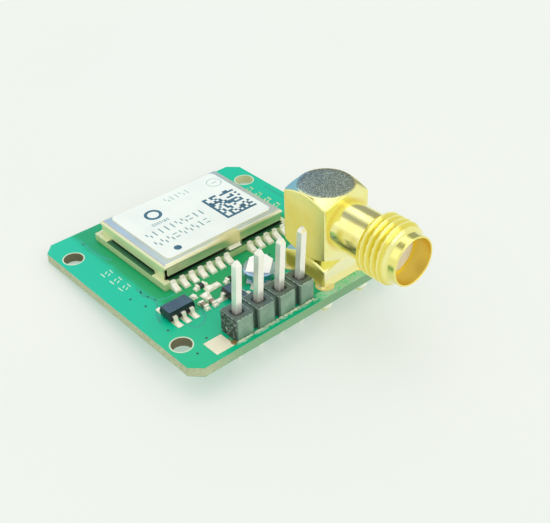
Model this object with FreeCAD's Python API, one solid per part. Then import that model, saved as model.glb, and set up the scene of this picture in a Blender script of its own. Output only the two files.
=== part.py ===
import FreeCAD, Part
import math
import os

# GPS receiver module, in millimetres, +Z up.
# X runs along the pin header, Y runs from the header edge to the back edge of the board.
# The origin is on the axis of the front left mounting hole, at the underside of the board.
# Places called from_left and from_front are distances from the left and the front edge of the board.

# Circuit board
BOARD_WIDTH = 25.4
BOARD_DEPTH = 25.8
BOARD_THICKNESS = 1.0
BOARD_CORNER = 1.1
MOUNT_HOLE = 2.0
MOUNT_HOLE_FROM_SIDE = 1.5
MOUNT_HOLE_FROM_FRONT = 3.9
MOUNT_HOLE_FROM_BACK = 3.7
PAD_THICKNESS = 0.05
ROUND_SIDES = 12

# Bare test pad beside the header
TEST_PAD = 2.0
TEST_PAD_FROM_FRONT = 0.6
TEST_PAD_GAP = 0.41

# Pin header: upright units joined by narrower webs, cropped at the right end
HEADER_PINS = 4
HEADER_PITCH = 2.54
HEADER_UNIT = 2.02
HEADER_DEPTH = 2.4
HEADER_HEIGHT = 2.35
HEADER_EDGE = 0.12
HEADER_WEB_INSET = 0.5
HEADER_WEB_DROP = 0.15
HEADER_CROP = 0.33
HEADER_RECESS = 1.1
HEADER_RECESS_DEPTH = 0.25
HEADER_FROM_LEFT = 6.37
HEADER_FROM_FRONT = 1.9
PIN_SQUARE = 0.64
PIN_ABOVE = 5.69
PIN_TAIL = 3.2
PIN_POINT = 0.45
PIN_POINT_TIP = 0.3
PIN_FIT = 0.01
PIN_LEAN = 0.45
HEADER_HOLE = 1.0

# Solder cones on the underside
SOLDER_RING = 0.45
SOLDER_HEIGHT = 0.9
SOLDER_COLLAR = 0.12
SOLDER_WAIST = 0.3
SOLDER_WAIST_DROP = 0.4
SOLDER_HOLLOW = 0.35

# Receiver module: castellated board
MODULE_WIDTH = 16.0
MODULE_DEPTH = 12.2
MODULE_BOARD = 0.8
MODULE_FROM_LEFT = 5.0
MODULE_FROM_FRONT = 11.17
CONTACT_PITCH = 1.1
CONTACTS_LEFT = 7
CONTACTS_RIGHT = 5
CONTACT_END = 1.0
CONTACT_WIDTH = 0.7
CONTACT_NOTCH = 0.55
CONTACT_OUT = 0.9
CONTACT_UNDER = 0.8
CONTACT_HOLLOW = ((0.14, 0.7), (0.42, 0.36), (1.0, 0.1))

# Receiver module: folded shield and label
SHIELD_HEIGHT = 1.56
SHIELD_SHEET = 0.15
SHIELD_BEND = 0.35
SHIELD_INSET_SIDE = 0.5
SHIELD_INSET_FRONT = 0.45
SHIELD_SEAM = 0.3
SHIELD_WALL_GAP = 0.4
SHIELD_SIDE_GAP = 0.25
SHIELD_CORNER_FOOT = 1.9
SHIELD_TAB = 2.0
SHIELD_TAB_FROM_LEFT = 8.95
SHIELD_BEAD = 0.28
SHIELD_BEAD_LENGTH = 1.5
LABEL_WIDTH = 13.2
LABEL_DEPTH = 10.1
LABEL_THICKNESS = 0.08
LABEL_CORNER = 0.6
LABEL_FROM_SHIELD_LEFT = 1.0
LABEL_FROM_SHIELD_FRONT = 0.8

# Parts soldered inside the shield: width, depth and height
RECEIVER_CHIP = (5.0, 5.0, 0.8)
REFERENCE_OSCILLATOR = (2.5, 2.0, 0.8)
CLOCK_CRYSTAL = (2.0, 1.2, 0.55)
INPUT_FILTER = (1.4, 1.1, 0.6)
INPUT_AMPLIFIER = (1.5, 1.0, 0.55)
SUPPLY_INDUCTOR = (2.0, 1.25, 0.9)
INNER_CHIP = (1.0, 0.5, 0.5)
INNER_CHIPS = 6
INNER_CHIP_PITCH = 0.9
INNER_COLUMN_GAP = 0.35
INNER_ROW_PITCH = 2.5

# Aerial jack: square block turned at its top and at its waist
JACK_BLOCK = 5.75
JACK_FROM_LEFT = 19.27
JACK_FROM_FRONT = 1.0
JACK_AXIS_HEIGHT = 6.19
JACK_TOP = 9.4
JACK_TOP_DISC = 2.8
JACK_TURNED_SLOPE = 30.0
JACK_WAIST_HEIGHT = 2.52
JACK_WAIST_FLAT = 0.12
JACK_WAIST_RADIUS = 2.91
JACK_EDGE = 0.15
JACK_LEG = 0.95
JACK_LEG_LENGTH = 2.9
JACK_LEG_POINT = 0.35
JACK_LEG_HOLE_FIT = 0.08
JACK_TOP_RING = 0.22
JACK_TOP_FILLET_HEIGHT = 0.3

# Aerial jack: threaded barrel, lengths measured from the face of the block
BARREL_LENGTH = 8.39
NECK_DIAMETER = 4.88
THREAD_START = 4.05
THREAD_DIAMETER = 6.25
THREAD_DEPTH = 0.4
THREAD_PITCH = 25.4 / 36.0
THREAD_CRESTS = 4
NOSE_DIAMETER = 4.95
NOSE_LENGTH = 1.0
NOSE_EDGE = 0.06
MOUTH_BORE = 4.6
MOUTH_DEPTH = 2.0
SPIGOT_DIAMETER = 4.64
SPIGOT_LENGTH = 1.0
JACK_FIT = 0.02

# Aerial jack: inner conductor and its insulators
INSULATOR_DIAMETER = 4.1
CONTACT_DIAMETER = 1.27
CONTACT_BORE = 0.94
CONTACT_BORE_DEPTH = 2.6
CONTACT_SLOT = 0.15
CONTACT_SLOT_DEPTH = 2.2
CONTACT_TAIL = 0.8
CENTRE_PIN = 1.2
CENTRE_PIN_TIP = 0.6
CENTRE_PIN_POINT = 0.25
BASE_INSULATOR_DIAMETER = 3.4
BASE_INSULATOR_HEIGHT = 3.2
BACK_PLUG_DIAMETER = 4.6
BACK_PLUG_THICKNESS = 0.8

# Five lead regulator and three lead transistor
PACKAGE_LENGTH = 2.9
PACKAGE_STANDOFF = 0.08
PACKAGE_DRAFT = 0.09
REGULATOR_DEPTH = 1.6
REGULATOR_HEIGHT = 1.1
REGULATOR_FROM_LEFT = 3.95
REGULATOR_FROM_FRONT = 7.75
TRANSISTOR_DEPTH = 1.3
TRANSISTOR_HEIGHT = 1.0
TRANSISTOR_FROM_LEFT = 9.25
TRANSISTOR_FROM_FRONT = 5.6
LEAD_PITCH = 0.95
LEAD_WIDTH = 0.4
LEAD_SHEET = 0.13
LEAD_REACH = 0.62
LEAD_FOOT = 0.35
LEAD_PAD_WIDTH = 0.62
LEAD_PAD_LENGTH = 1.15

# Backup cell between two welded tabs: the can is on top and the narrower lid below
CELL_DIAMETER = 3.35
CELL_HEIGHT = 1.25
CELL_LID_DIAMETER = 2.5
CELL_LID_HEIGHT = 0.5
CELL_EDGE = 0.14
CELL_FROM_LEFT = 13.15
CELL_FROM_FRONT = 6.75
CELL_TURN = 41.0
TAB_SHEET = 0.1
TAB_PLATE = 2.35
TAB_PLATE_SHOULDER = 0.58
TAB_STRAP = 1.0
TAB_REACH = 2.7
LOWER_TAB_REACH = 1.9
TAB_FOOT = 0.8
TAB_PAD_MARGIN = 0.15

# Chips with two metal ends: distance from the left and the front edge, and turn
CHIP_LENGTH = 1.0
CHIP_WIDTH = 0.5
CHIP_HEIGHT = 0.36
CHIP_END = 0.24
CHIP_END_WALL = 0.02
CHIP_PAD = 0.55
CHIP_WETTING = 0.8
RESISTORS = ((7.95, 9.45, 0.0), (10.75, 8.35, 0.0))
CAPACITORS = ((6.35, 6.85, 90.0), (7.25, 6.75, 90.0))
LUMP_HEIGHT = 0.2
LUMP_EDGE = 0.12
BARE_PADS = ((8.8, 8.65, 1.7, 0.85), (7.45, 8.05, 0.85, 0.8), (6.5, 8.65, 0.55, 0.75))

# Edges of the board in the frame
BOARD_LEFT = -MOUNT_HOLE_FROM_SIDE
BOARD_FRONT = -MOUNT_HOLE_FROM_FRONT
BOARD_TOP = BOARD_THICKNESS
PAD_TOP = BOARD_TOP + PAD_THICKNESS
MODULE_TOP = PAD_TOP + MODULE_BOARD


# Shapes used by several sub-parts
def point(x, y, z=0.0):
    return FreeCAD.Vector(x, y, z)


def place(from_left, from_front):
    """Frame position of a place given from the left and the front edge of the board."""
    return BOARD_LEFT + from_left, BOARD_FRONT + from_front


def block(x, y, bottom, width, depth, height):
    """A box centred on x and y that stands on bottom."""
    return Part.makeBox(width, depth, height, point(x - width / 2, y - depth / 2, bottom))


def rod(x, y, bottom, diameter, height):
    """An upright cylinder that stands on bottom."""
    return Part.makeCylinder(diameter / 2, height, point(x, y, bottom))


def lying_rod(x, start, z, diameter, length):
    """A cylinder along +Y that starts at y equal to start."""
    return Part.makeCylinder(diameter / 2, length, point(x, start, z), point(0, 1, 0))


def outline_face(points):
    """A flat face inside a closed line through the points."""
    return Part.Face(Part.makePolygon(list(points) + [points[0]]))


def upright_edges(solid):
    """The straight edges of a solid that run along Z."""
    found = []
    for edge in solid.Edges:
        first, last = edge.Vertexes[0].Point, edge.Vertexes[-1].Point
        if abs(first.x - last.x) < 1e-6 and abs(first.y - last.y) < 1e-6:
            found.append(edge)
    return found


def turned(profile, x, y):
    """Turns a profile of (radius, height) points about an upright axis."""
    face = outline_face([point(x + radius, y, height) for radius, height in profile])
    return face.revolve(point(x, y, 0), point(0, 0, 1), 360)


def turned_to_front(profile, x, start, z):
    """Turns a profile of (radius, length) points about an axis that runs to the front."""
    face = outline_face([point(x + radius, start - length, z) for radius, length in profile])
    return face.revolve(point(x, start, z), point(0, 1, 0), 360)


def turn_about(shape, x, y, degrees):
    """Turns a shape about an upright axis."""
    shape.rotate(point(x, y, 0), point(0, 0, 1), degrees)
    return shape


def round_loop(x, y, z, radius):
    """A closed wire of short straight sides inside a circle, for solder and other small soft edged forms."""
    turn = 2 * math.pi / ROUND_SIDES
    angles = [turn * number for number in range(ROUND_SIDES + 1)]
    return Part.makePolygon([point(x + radius * math.cos(a), y + radius * math.sin(a), z) for a in angles])


def corner_loop(x, y, z, width, depth):
    """A closed rectangular wire centred on x and y."""
    left, right = x - width / 2, x + width / 2
    front, back = y - depth / 2, y + depth / 2
    corners = [point(left, front, z), point(right, front, z), point(right, back, z), point(left, back, z)]
    return Part.makePolygon(corners + [corners[0]])


def join(solids):
    """One compound of separate solids."""
    return Part.makeCompound(solids)


# Circuit board and its copper
def header_places():
    """The axis of each header pin."""
    x, y = place(HEADER_FROM_LEFT, HEADER_FROM_FRONT)
    return [(x + HEADER_PITCH * number, y) for number in range(HEADER_PINS)]


def jack_axis():
    """Plan position of the middle of the jack's block."""
    x, y = place(JACK_FROM_LEFT, JACK_FROM_FRONT)
    return x, y + JACK_BLOCK / 2


def jack_leg_places():
    """The axis of each leg, flush with the corners of the block."""
    x, y = jack_axis()
    out = (JACK_BLOCK - JACK_LEG) / 2
    return [(x + side * out, y + end * out) for side in (-1, 1) for end in (-1, 1)]


def leg_hole_diameter():
    return JACK_LEG * math.sqrt(2) + 2 * JACK_LEG_HOLE_FIT


def centre_pin_hole_diameter():
    return CENTRE_PIN + 2 * JACK_LEG_HOLE_FIT


def plated_hole(x, y, diameter):
    """The inside of a hole that solder fills, with short straight sides like the solder in it."""
    return Part.makeLoft([round_loop(x, y, z, diameter / 2) for z in (0, BOARD_TOP)], True, True)


def mount_hole_places():
    """Front left, back left and back right mounting holes."""
    right = BOARD_WIDTH - 2 * MOUNT_HOLE_FROM_SIDE
    back = BOARD_DEPTH - MOUNT_HOLE_FROM_FRONT - MOUNT_HOLE_FROM_BACK
    return [(0.0, 0.0), (0.0, back), (right, back)]


def circuit_board():
    x, y = place(BOARD_WIDTH / 2, BOARD_DEPTH / 2)
    board = block(x, y, 0, BOARD_WIDTH, BOARD_DEPTH, BOARD_THICKNESS)
    board = board.makeChamfer(BOARD_CORNER, upright_edges(board))
    holes = [rod(px, py, 0, MOUNT_HOLE, BOARD_THICKNESS) for px, py in mount_hole_places()]
    holes += [plated_hole(px, py, HEADER_HOLE) for px, py in header_places()]
    holes += [plated_hole(px, py, leg_hole_diameter()) for px, py in jack_leg_places()]
    holes.append(plated_hole(*jack_axis(), centre_pin_hole_diameter()))
    return board.cut(join(holes))


def test_pad():
    """Bare square pad beside the left end of the header."""
    header_end = HEADER_FROM_LEFT - HEADER_UNIT / 2
    x, y = place(header_end - TEST_PAD_GAP - TEST_PAD / 2, TEST_PAD_FROM_FRONT + TEST_PAD / 2)
    return block(x, y, BOARD_TOP, TEST_PAD, TEST_PAD, PAD_THICKNESS)


# Receiver module
def contact_offsets():
    """Distances of the module's contacts from its left end."""
    left = [CONTACT_END + CONTACT_PITCH * number for number in range(CONTACTS_LEFT)]
    right = [MODULE_WIDTH - CONTACT_END - CONTACT_PITCH * number for number in range(CONTACTS_RIGHT)]
    return left + right[::-1]


def module_contacts():
    """Each contact's position on the module's edge, and the way that leads out of the module."""
    contacts = []
    for offset in contact_offsets():
        for from_front, outward in ((MODULE_FROM_FRONT, -1), (MODULE_FROM_FRONT + MODULE_DEPTH, 1)):
            x, y = place(MODULE_FROM_LEFT + offset, from_front)
            contacts.append((x, y, outward))
    return contacts


def module_middle():
    return place(MODULE_FROM_LEFT + MODULE_WIDTH / 2, MODULE_FROM_FRONT + MODULE_DEPTH / 2)


def module_pads():
    """Copper under the module's edge that runs on beside it."""
    pads = []
    length = CONTACT_OUT + CONTACT_UNDER
    for x, y, outward in module_contacts():
        middle = y + outward * (CONTACT_OUT - CONTACT_UNDER) / 2
        pads.append(block(x, middle, BOARD_TOP, CONTACT_WIDTH, length, PAD_THICKNESS))
    return pads


def contact_notch(x, y):
    """A six sided hole centred on the module's edge, of which half is the notch."""
    turn = math.pi / 3
    reach = CONTACT_NOTCH / 2
    angles = [turn * number for number in range(6)]
    corners = [point(x + reach * math.cos(a), y + reach * math.sin(a), PAD_TOP) for a in angles]
    return outline_face(corners).extrude(point(0, 0, MODULE_BOARD))


def module_board():
    """Thin board with a notch at each contact along its front and back edges."""
    x, y = module_middle()
    board = block(x, y, PAD_TOP, MODULE_WIDTH, MODULE_DEPTH, MODULE_BOARD)
    return board.cut(join([contact_notch(px, py) for px, py, outward in module_contacts()]))


def module_joint(x, y, outward):
    """Solder that fills a notch and runs down in a hollow curve onto the pad."""
    low, high = PAD_TOP, MODULE_TOP
    line = [(0, low), (0, high)]
    line += [(out * CONTACT_OUT, low + up * MODULE_BOARD) for out, up in CONTACT_HOLLOW]
    line.append((CONTACT_OUT, low))
    face = outline_face([point(x - CONTACT_WIDTH / 2, y + outward * out, z) for out, z in line])
    fillet = face.extrude(point(CONTACT_WIDTH, 0, 0))
    outside = block(x, y + outward * CONTACT_NOTCH, low, CONTACT_WIDTH, 2 * CONTACT_NOTCH, MODULE_BOARD)
    return fillet.fuse(contact_notch(x, y).cut(outside)).removeSplitter()


def module_joints():
    return join([module_joint(*contact) for contact in module_contacts()])


def shield_size():
    """Outer width and depth of the shield."""
    return MODULE_WIDTH - 2 * SHIELD_INSET_SIDE, MODULE_DEPTH - 2 * SHIELD_INSET_FRONT


def bent_box(width, depth, height, bend):
    """A box on the module whose four top edges are rounded like a sheet's bends."""
    x, y = module_middle()
    box = block(x, y, MODULE_TOP, width, depth, height)
    top = MODULE_TOP + height
    rims = [edge for edge in box.Edges if abs(edge.CenterOfMass.z - top) < 1e-6]
    return box.makeFillet(bend, rims)


def shield_openings(width, depth):
    """Open seams at the corners and the gaps under the four walls."""
    x, y = module_middle()
    cuts = []
    seam_height = SHIELD_HEIGHT - SHIELD_BEND
    reach = 2 * SHIELD_SHEET
    for side in (-1, 1):
        for end in (-1, 1):
            corner_x = x + side * (width - SHIELD_SEAM) / 2
            corner_y = y + end * (depth - SHIELD_SEAM) / 2
            cuts.append(block(corner_x, corner_y, MODULE_TOP, SHIELD_SEAM, SHIELD_SEAM, seam_height))
        wall_gap = depth - 2 * SHIELD_CORNER_FOOT
        cuts.append(block(x + side * width / 2, y, MODULE_TOP, reach, wall_gap, SHIELD_SIDE_GAP))
        left, right = x - width / 2, x + width / 2
        tab_left = place(MODULE_FROM_LEFT + SHIELD_TAB_FROM_LEFT, 0)[0] - SHIELD_TAB / 2
        for first, last in ((left, tab_left), (tab_left + SHIELD_TAB, right)):
            wall_middle = (first + last) / 2
            wall_y = y + side * depth / 2
            cuts.append(block(wall_middle, wall_y, MODULE_TOP, last - first, reach, SHIELD_WALL_GAP))
    return cuts


def module_shield():
    """One folded sheet: rounded bends, open corners and walls that stand on feet and tabs."""
    width, depth = shield_size()
    outside = bent_box(width, depth, SHIELD_HEIGHT, SHIELD_BEND)
    inner_width, inner_depth = width - 2 * SHIELD_SHEET, depth - 2 * SHIELD_SHEET
    inside = bent_box(inner_width, inner_depth, SHIELD_HEIGHT - SHIELD_SHEET, SHIELD_BEND - SHIELD_SHEET)
    return outside.cut(inside).cut(join(shield_openings(width, depth)))


def label_place():
    """Middle of the label on top of the shield."""
    left = MODULE_FROM_LEFT + SHIELD_INSET_SIDE + LABEL_FROM_SHIELD_LEFT
    front = MODULE_FROM_FRONT + SHIELD_INSET_FRONT + LABEL_FROM_SHIELD_FRONT
    return place(left + LABEL_WIDTH / 2, front + LABEL_DEPTH / 2)


def module_label():
    x, y = label_place()
    label = block(x, y, MODULE_TOP + SHIELD_HEIGHT, LABEL_WIDTH, LABEL_DEPTH, LABEL_THICKNESS)
    return label.makeFillet(LABEL_CORNER, upright_edges(label))


def inner_column(number):
    """Middle of a column of inner parts; the columns stand side by side, centred in the module."""
    widths = [RECEIVER_CHIP[0], INNER_CHIP[0], REFERENCE_OSCILLATOR[0], SUPPLY_INDUCTOR[0]]
    x, y = module_middle()
    left = x - (sum(widths) + INNER_COLUMN_GAP * (len(widths) - 1)) / 2
    return left + sum(widths[:number]) + INNER_COLUMN_GAP * number + widths[number] / 2, y


def inner_part(size, column, row):
    """A flat part soldered to the module's board inside the shield, in a column and a row."""
    x, y = inner_column(column)
    return block(x, y + row * INNER_ROW_PITCH, MODULE_TOP, *size)


def module_passives():
    """A column of small chips between the receiver chip and the parts on its right."""
    x, y = inner_column(1)
    rows = [(number - (INNER_CHIPS - 1) / 2) * INNER_CHIP_PITCH for number in range(INNER_CHIPS)]
    return join([block(x, y + row, MODULE_TOP, *INNER_CHIP) for row in rows])


# Pin header
def header_unit(x, y):
    """One upright unit of the strip with its upright edges cut off."""
    unit = block(x, y, BOARD_TOP, HEADER_UNIT, HEADER_DEPTH, HEADER_HEIGHT)
    return unit.makeChamfer(HEADER_EDGE, upright_edges(unit))


def header_web(x, y):
    """The narrower and lower web between two units."""
    depth = HEADER_DEPTH - 2 * HEADER_WEB_INSET
    return block(x, y, BOARD_TOP, HEADER_PITCH, depth, HEADER_HEIGHT - HEADER_WEB_DROP)


def pin_recess(x, y):
    """A square funnel in the top of the strip round a pin."""
    top = BOARD_TOP + HEADER_HEIGHT
    small = corner_loop(x, y, top - HEADER_RECESS_DEPTH, PIN_SQUARE + 2 * PIN_FIT, PIN_SQUARE + 2 * PIN_FIT)
    large = corner_loop(x, y, top, HEADER_RECESS, HEADER_RECESS)
    return Part.makeLoft([small, large], True)


def header_housing():
    """One moulded strip of units on webs, cropped at its right end."""
    places = header_places()
    units = [header_unit(x, y) for x, y in places]
    webs = [header_web(x + HEADER_PITCH / 2, y) for x, y in places[:-1]]
    strip = units[0].multiFuse(units[1:] + webs).removeSplitter()
    last_x, last_y = places[-1]
    cuts = [block(last_x + HEADER_UNIT / 2, last_y, BOARD_TOP, 2 * HEADER_CROP, HEADER_PITCH, HEADER_HEIGHT)]
    square = PIN_SQUARE + 2 * PIN_FIT
    for x, y in places:
        cuts.append(pin_recess(x, y))
        cuts.append(block(x, y, BOARD_TOP, square, square, HEADER_HEIGHT))
    return strip.cut(join(cuts))


def header_pin(number):
    """A square pin with four sided points, which leans forward where it leaves the strip."""
    x, y = header_places()[number]
    bottom = BOARD_TOP - PIN_TAIL
    leave = BOARD_TOP + HEADER_HEIGHT - HEADER_RECESS_DEPTH
    top = BOARD_TOP + HEADER_HEIGHT + PIN_ABOVE
    neck_lean = PIN_LEAN * (top - PIN_POINT - leave) / (top - leave)
    levels = [(bottom, PIN_POINT_TIP, 0), (bottom + PIN_POINT, PIN_SQUARE, 0), (leave, PIN_SQUARE, 0)]
    levels += [(top - PIN_POINT, PIN_SQUARE, neck_lean), (top, PIN_POINT_TIP, PIN_LEAN)]
    return Part.makeLoft([corner_loop(x, y - lean, z, side, side) for z, side, lean in levels], True, True)


def solder_cone(x, y, hole, core):
    """Solder that fills a hole and stands out below in a hollow sided cone, for a core of that width."""
    foot = hole / 2 + SOLDER_RING
    collar = core / 2 + SOLDER_COLLAR
    waist = collar + SOLDER_WAIST * (foot - collar)
    levels = [(0, foot), (-SOLDER_WAIST_DROP * SOLDER_HEIGHT, waist), (-SOLDER_HEIGHT, collar)]
    cone = Part.makeLoft([round_loop(x, y, z, radius) for z, radius in levels], True, True)
    return cone.fuse(plated_hole(x, y, hole))


def header_joints():
    """Solder cones round the tails of the header."""
    joints = []
    for x, y in header_places():
        cone = solder_cone(x, y, HEADER_HOLE, PIN_SQUARE * math.sqrt(2))
        joints.append(cone.cut(block(x, y, BOARD_TOP - PIN_TAIL, PIN_SQUARE, PIN_SQUARE, PIN_TAIL)))
    return join(joints)


# Aerial jack
def jack_axis_z():
    return BOARD_TOP + JACK_AXIS_HEIGHT


def block_front():
    return place(0, JACK_FROM_FRONT)[1]


def turned_limit(x, y):
    """The lathe's profile: a chamfered top and a waist that only cuts the corners of the bar."""
    slope = math.tan(math.radians(JACK_TURNED_SLOPE))
    outside = JACK_BLOCK * math.sqrt(0.5) + JACK_EDGE
    top = BOARD_TOP + JACK_TOP
    waist_low = BOARD_TOP + JACK_WAIST_HEIGHT - JACK_WAIST_FLAT / 2
    waist_high = waist_low + JACK_WAIST_FLAT
    flare = (outside - JACK_WAIST_RADIUS) * slope
    profile = [(0, BOARD_TOP), (outside, BOARD_TOP), (outside, waist_low - flare)]
    profile += [(JACK_WAIST_RADIUS, waist_low), (JACK_WAIST_RADIUS, waist_high)]
    profile.append((outside, waist_high + flare))
    profile += [(outside, top - (outside - JACK_TOP_DISC) * slope), (JACK_TOP_DISC, top), (0, top)]
    return profile


def jack_legs():
    """Four square legs, pointed at the bottom."""
    legs = []
    end = BOARD_TOP - JACK_LEG_LENGTH
    tip = JACK_LEG - JACK_LEG_POINT
    for x, y in jack_leg_places():
        levels = [(end, tip), (end + JACK_LEG_POINT, JACK_LEG), (BOARD_TOP, JACK_LEG)]
        legs.append(Part.makeLoft([corner_loop(x, y, z, side, side) for z, side in levels], True, True))
    return legs


def jack_hollows():
    """The bores of the block: for the barrel, the conductor, the back plug and the centre pin."""
    x, y = jack_axis()
    front, z = block_front(), jack_axis_z()
    back = front + JACK_BLOCK
    spigot = lying_rod(x, front, z, SPIGOT_DIAMETER + 2 * JACK_FIT, SPIGOT_LENGTH)
    cavity = lying_rod(x, front, z, INSULATOR_DIAMETER, JACK_BLOCK)
    plug = lying_rod(x, back - BACK_PLUG_THICKNESS, z, BACK_PLUG_DIAMETER, BACK_PLUG_THICKNESS)
    shaft = rod(x, y, BOARD_TOP, BASE_INSULATOR_DIAMETER, JACK_AXIS_HEIGHT)
    return join([spigot, cavity, plug, shaft])


def jack_block():
    """Square bar with rounded edges, turned at the top and the waist, bored, on four legs."""
    x, y = jack_axis()
    bar = block(x, y, BOARD_TOP, JACK_BLOCK, JACK_BLOCK, JACK_TOP)
    bar = bar.makeFillet(JACK_EDGE, upright_edges(bar))
    body = bar.common(turned(turned_limit(x, y), x, y))
    return body.cut(jack_hollows()).multiFuse(jack_legs())


def thread_profile():
    """Points of (radius, length) along the crests of the thread."""
    crest = THREAD_DIAMETER / 2
    points = []
    for number in range(THREAD_CRESTS):
        start = THREAD_START + number * THREAD_PITCH
        points += [(crest - THREAD_DEPTH, start), (crest, start + THREAD_PITCH / 2)]
    return points


def jack_barrel():
    """Turned barrel: spigot, neck, thread, cone and plain nose, bored in two steps."""
    nose_start = BARREL_LENGTH - NOSE_LENGTH
    inner, mouth = INSULATOR_DIAMETER / 2, MOUTH_BORE / 2
    nose = NOSE_DIAMETER / 2
    profile = [(inner, -SPIGOT_LENGTH), (SPIGOT_DIAMETER / 2, -SPIGOT_LENGTH), (SPIGOT_DIAMETER / 2, 0)]
    profile += [(NECK_DIAMETER / 2, 0), (NECK_DIAMETER / 2, THREAD_START)]
    profile += thread_profile()
    profile += [(nose, nose_start), (nose, BARREL_LENGTH - NOSE_EDGE), (nose - NOSE_EDGE, BARREL_LENGTH)]
    floor = BARREL_LENGTH - MOUTH_DEPTH
    profile += [(mouth, BARREL_LENGTH), (mouth, floor), (inner, floor)]
    x = jack_axis()[0]
    return turned_to_front(profile, x, block_front(), jack_axis_z())


def jack_insulator():
    """Sleeve round the inner contact, from the bottom of the mouth to the end of the spigot."""
    x = jack_axis()[0]
    face = BARREL_LENGTH - MOUTH_DEPTH
    start = block_front() - face
    sleeve = lying_rod(x, start, jack_axis_z(), INSULATOR_DIAMETER, face + SPIGOT_LENGTH)
    return sleeve.cut(lying_rod(x, start, jack_axis_z(), CONTACT_DIAMETER, face + SPIGOT_LENGTH))


def jack_contact():
    """Inner contact: slotted socket in front, cross bored at the back for the centre pin."""
    x, y = jack_axis()
    z = jack_axis_z()
    start = block_front() - (BARREL_LENGTH - MOUTH_DEPTH)
    length = y + CONTACT_TAIL - start
    contact = lying_rod(x, start, z, CONTACT_DIAMETER, length)
    socket = lying_rod(x, start, z, CONTACT_BORE, CONTACT_BORE_DEPTH)
    corner = point(-CONTACT_SLOT / 2, 0, -CONTACT_DIAMETER / 2)
    slot = Part.makeBox(CONTACT_SLOT, CONTACT_SLOT_DEPTH, CONTACT_DIAMETER, corner)
    cross = slot.copy()
    cross.rotate(point(0, 0, 0), point(0, 1, 0), 90)
    for cut in (slot, cross):
        cut.translate(point(x, start, z))
    cross_bore = rod(x, y, z - CONTACT_DIAMETER, CENTRE_PIN_TIP, 2 * CONTACT_DIAMETER)
    return contact.cut(join([socket, slot, cross, cross_bore]))


def jack_centre_pin():
    """Upright pin from below the board into the cross bore of the contact."""
    x, y = jack_axis()
    bottom = BOARD_TOP - JACK_LEG_LENGTH
    shoulder = jack_axis_z() - CONTACT_DIAMETER / 2 - JACK_FIT
    top = jack_axis_z() + CONTACT_DIAMETER / 2
    radius, tip = CENTRE_PIN / 2, CENTRE_PIN_TIP / 2
    profile = [(0, bottom), (radius - CENTRE_PIN_POINT, bottom), (radius, bottom + CENTRE_PIN_POINT)]
    profile += [(radius, shoulder), (tip, shoulder), (tip, top), (0, top)]
    return turned(profile, x, y)


def jack_base_insulator():
    """Bushing that holds the centre pin in the bottom of the block."""
    x, y = jack_axis()
    bushing = rod(x, y, BOARD_TOP, BASE_INSULATOR_DIAMETER, BASE_INSULATOR_HEIGHT)
    return bushing.cut(rod(x, y, BOARD_TOP, CENTRE_PIN, BASE_INSULATOR_HEIGHT))


def jack_back_plug():
    """Round plug that closes the bore at the back of the block."""
    x = jack_axis()[0]
    start = block_front() + JACK_BLOCK - BACK_PLUG_THICKNESS
    return lying_rod(x, start, jack_axis_z(), BACK_PLUG_DIAMETER, BACK_PLUG_THICKNESS)


def jack_joints():
    """Solder round the four legs and the centre pin: cones below, fillets at the foot of the block."""
    x, y = jack_axis()
    core = JACK_LEG * math.sqrt(2)
    foot, collar = leg_hole_diameter() / 2 + JACK_TOP_RING, core / 2 + SOLDER_COLLAR
    top = BOARD_TOP + JACK_TOP_FILLET_HEIGHT
    keep_out = block(x, y, BOARD_TOP, JACK_BLOCK, JACK_BLOCK, JACK_TOP)
    joints = []
    for px, py in jack_leg_places():
        rim, crown = round_loop(px, py, BOARD_TOP, foot), round_loop(px, py, top, collar)
        upper = Part.makeLoft([rim, crown], True, True)
        lower = solder_cone(px, py, leg_hole_diameter(), core)
        leg = block(px, py, BOARD_TOP - JACK_LEG_LENGTH, JACK_LEG, JACK_LEG, JACK_LEG_LENGTH)
        joints.append(lower.fuse(upper).cut(join([keep_out, leg])))
    centre = solder_cone(x, y, centre_pin_hole_diameter(), CENTRE_PIN)
    joints.append(centre.cut(rod(x, y, BOARD_TOP - JACK_LEG_LENGTH, CENTRE_PIN, JACK_LEG_LENGTH)))
    return join(joints)


# Regulator and transistor
def moulded_body(x, y, depth, height):
    """A package that tapers up and down from a flat band where its leads come out."""
    bottom = PAD_TOP + PACKAGE_STANDOFF
    middle = bottom + (height - PACKAGE_STANDOFF) / 2
    small = (PACKAGE_LENGTH - 2 * PACKAGE_DRAFT, depth - 2 * PACKAGE_DRAFT)
    large = (PACKAGE_LENGTH, depth)
    levels = [(bottom, small), (middle - LEAD_SHEET / 2, large), (middle + LEAD_SHEET / 2, large)]
    levels.append((PAD_TOP + height, small))
    return Part.makeLoft([corner_loop(x, y, z, width, deep) for z, (width, deep) in levels], True, True)


def gull_lead(x, y, outward, height):
    """One formed lead: out of the body at half its height, down, and out again along the pad."""
    band = PAD_TOP + PACKAGE_STANDOFF + (height - PACKAGE_STANDOFF) / 2
    low, high = band - LEAD_SHEET / 2, band + LEAD_SHEET / 2
    knee = LEAD_REACH - LEAD_FOOT
    toe_top = PAD_TOP + LEAD_SHEET
    line = [(0, low), (0, high), (knee, high), (knee + LEAD_SHEET, toe_top), (LEAD_REACH, toe_top)]
    line += [(LEAD_REACH, PAD_TOP), (knee, PAD_TOP), (knee - LEAD_SHEET, low)]
    face = outline_face([point(x - LEAD_WIDTH / 2, y + outward * run, z) for run, z in line])
    return face.extrude(point(LEAD_WIDTH, 0, 0))


def formed_leads(places, height):
    return join([gull_lead(*lead, height) for lead in places])


def lead_places(x, y, depth, front, back):
    """Where the leads leave a package: (x, y, outward) for offsets in steps of the lead pitch."""
    leads = [(x + step * LEAD_PITCH, y - depth / 2, -1) for step in front]
    return leads + [(x + step * LEAD_PITCH, y + depth / 2, 1) for step in back]


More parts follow.
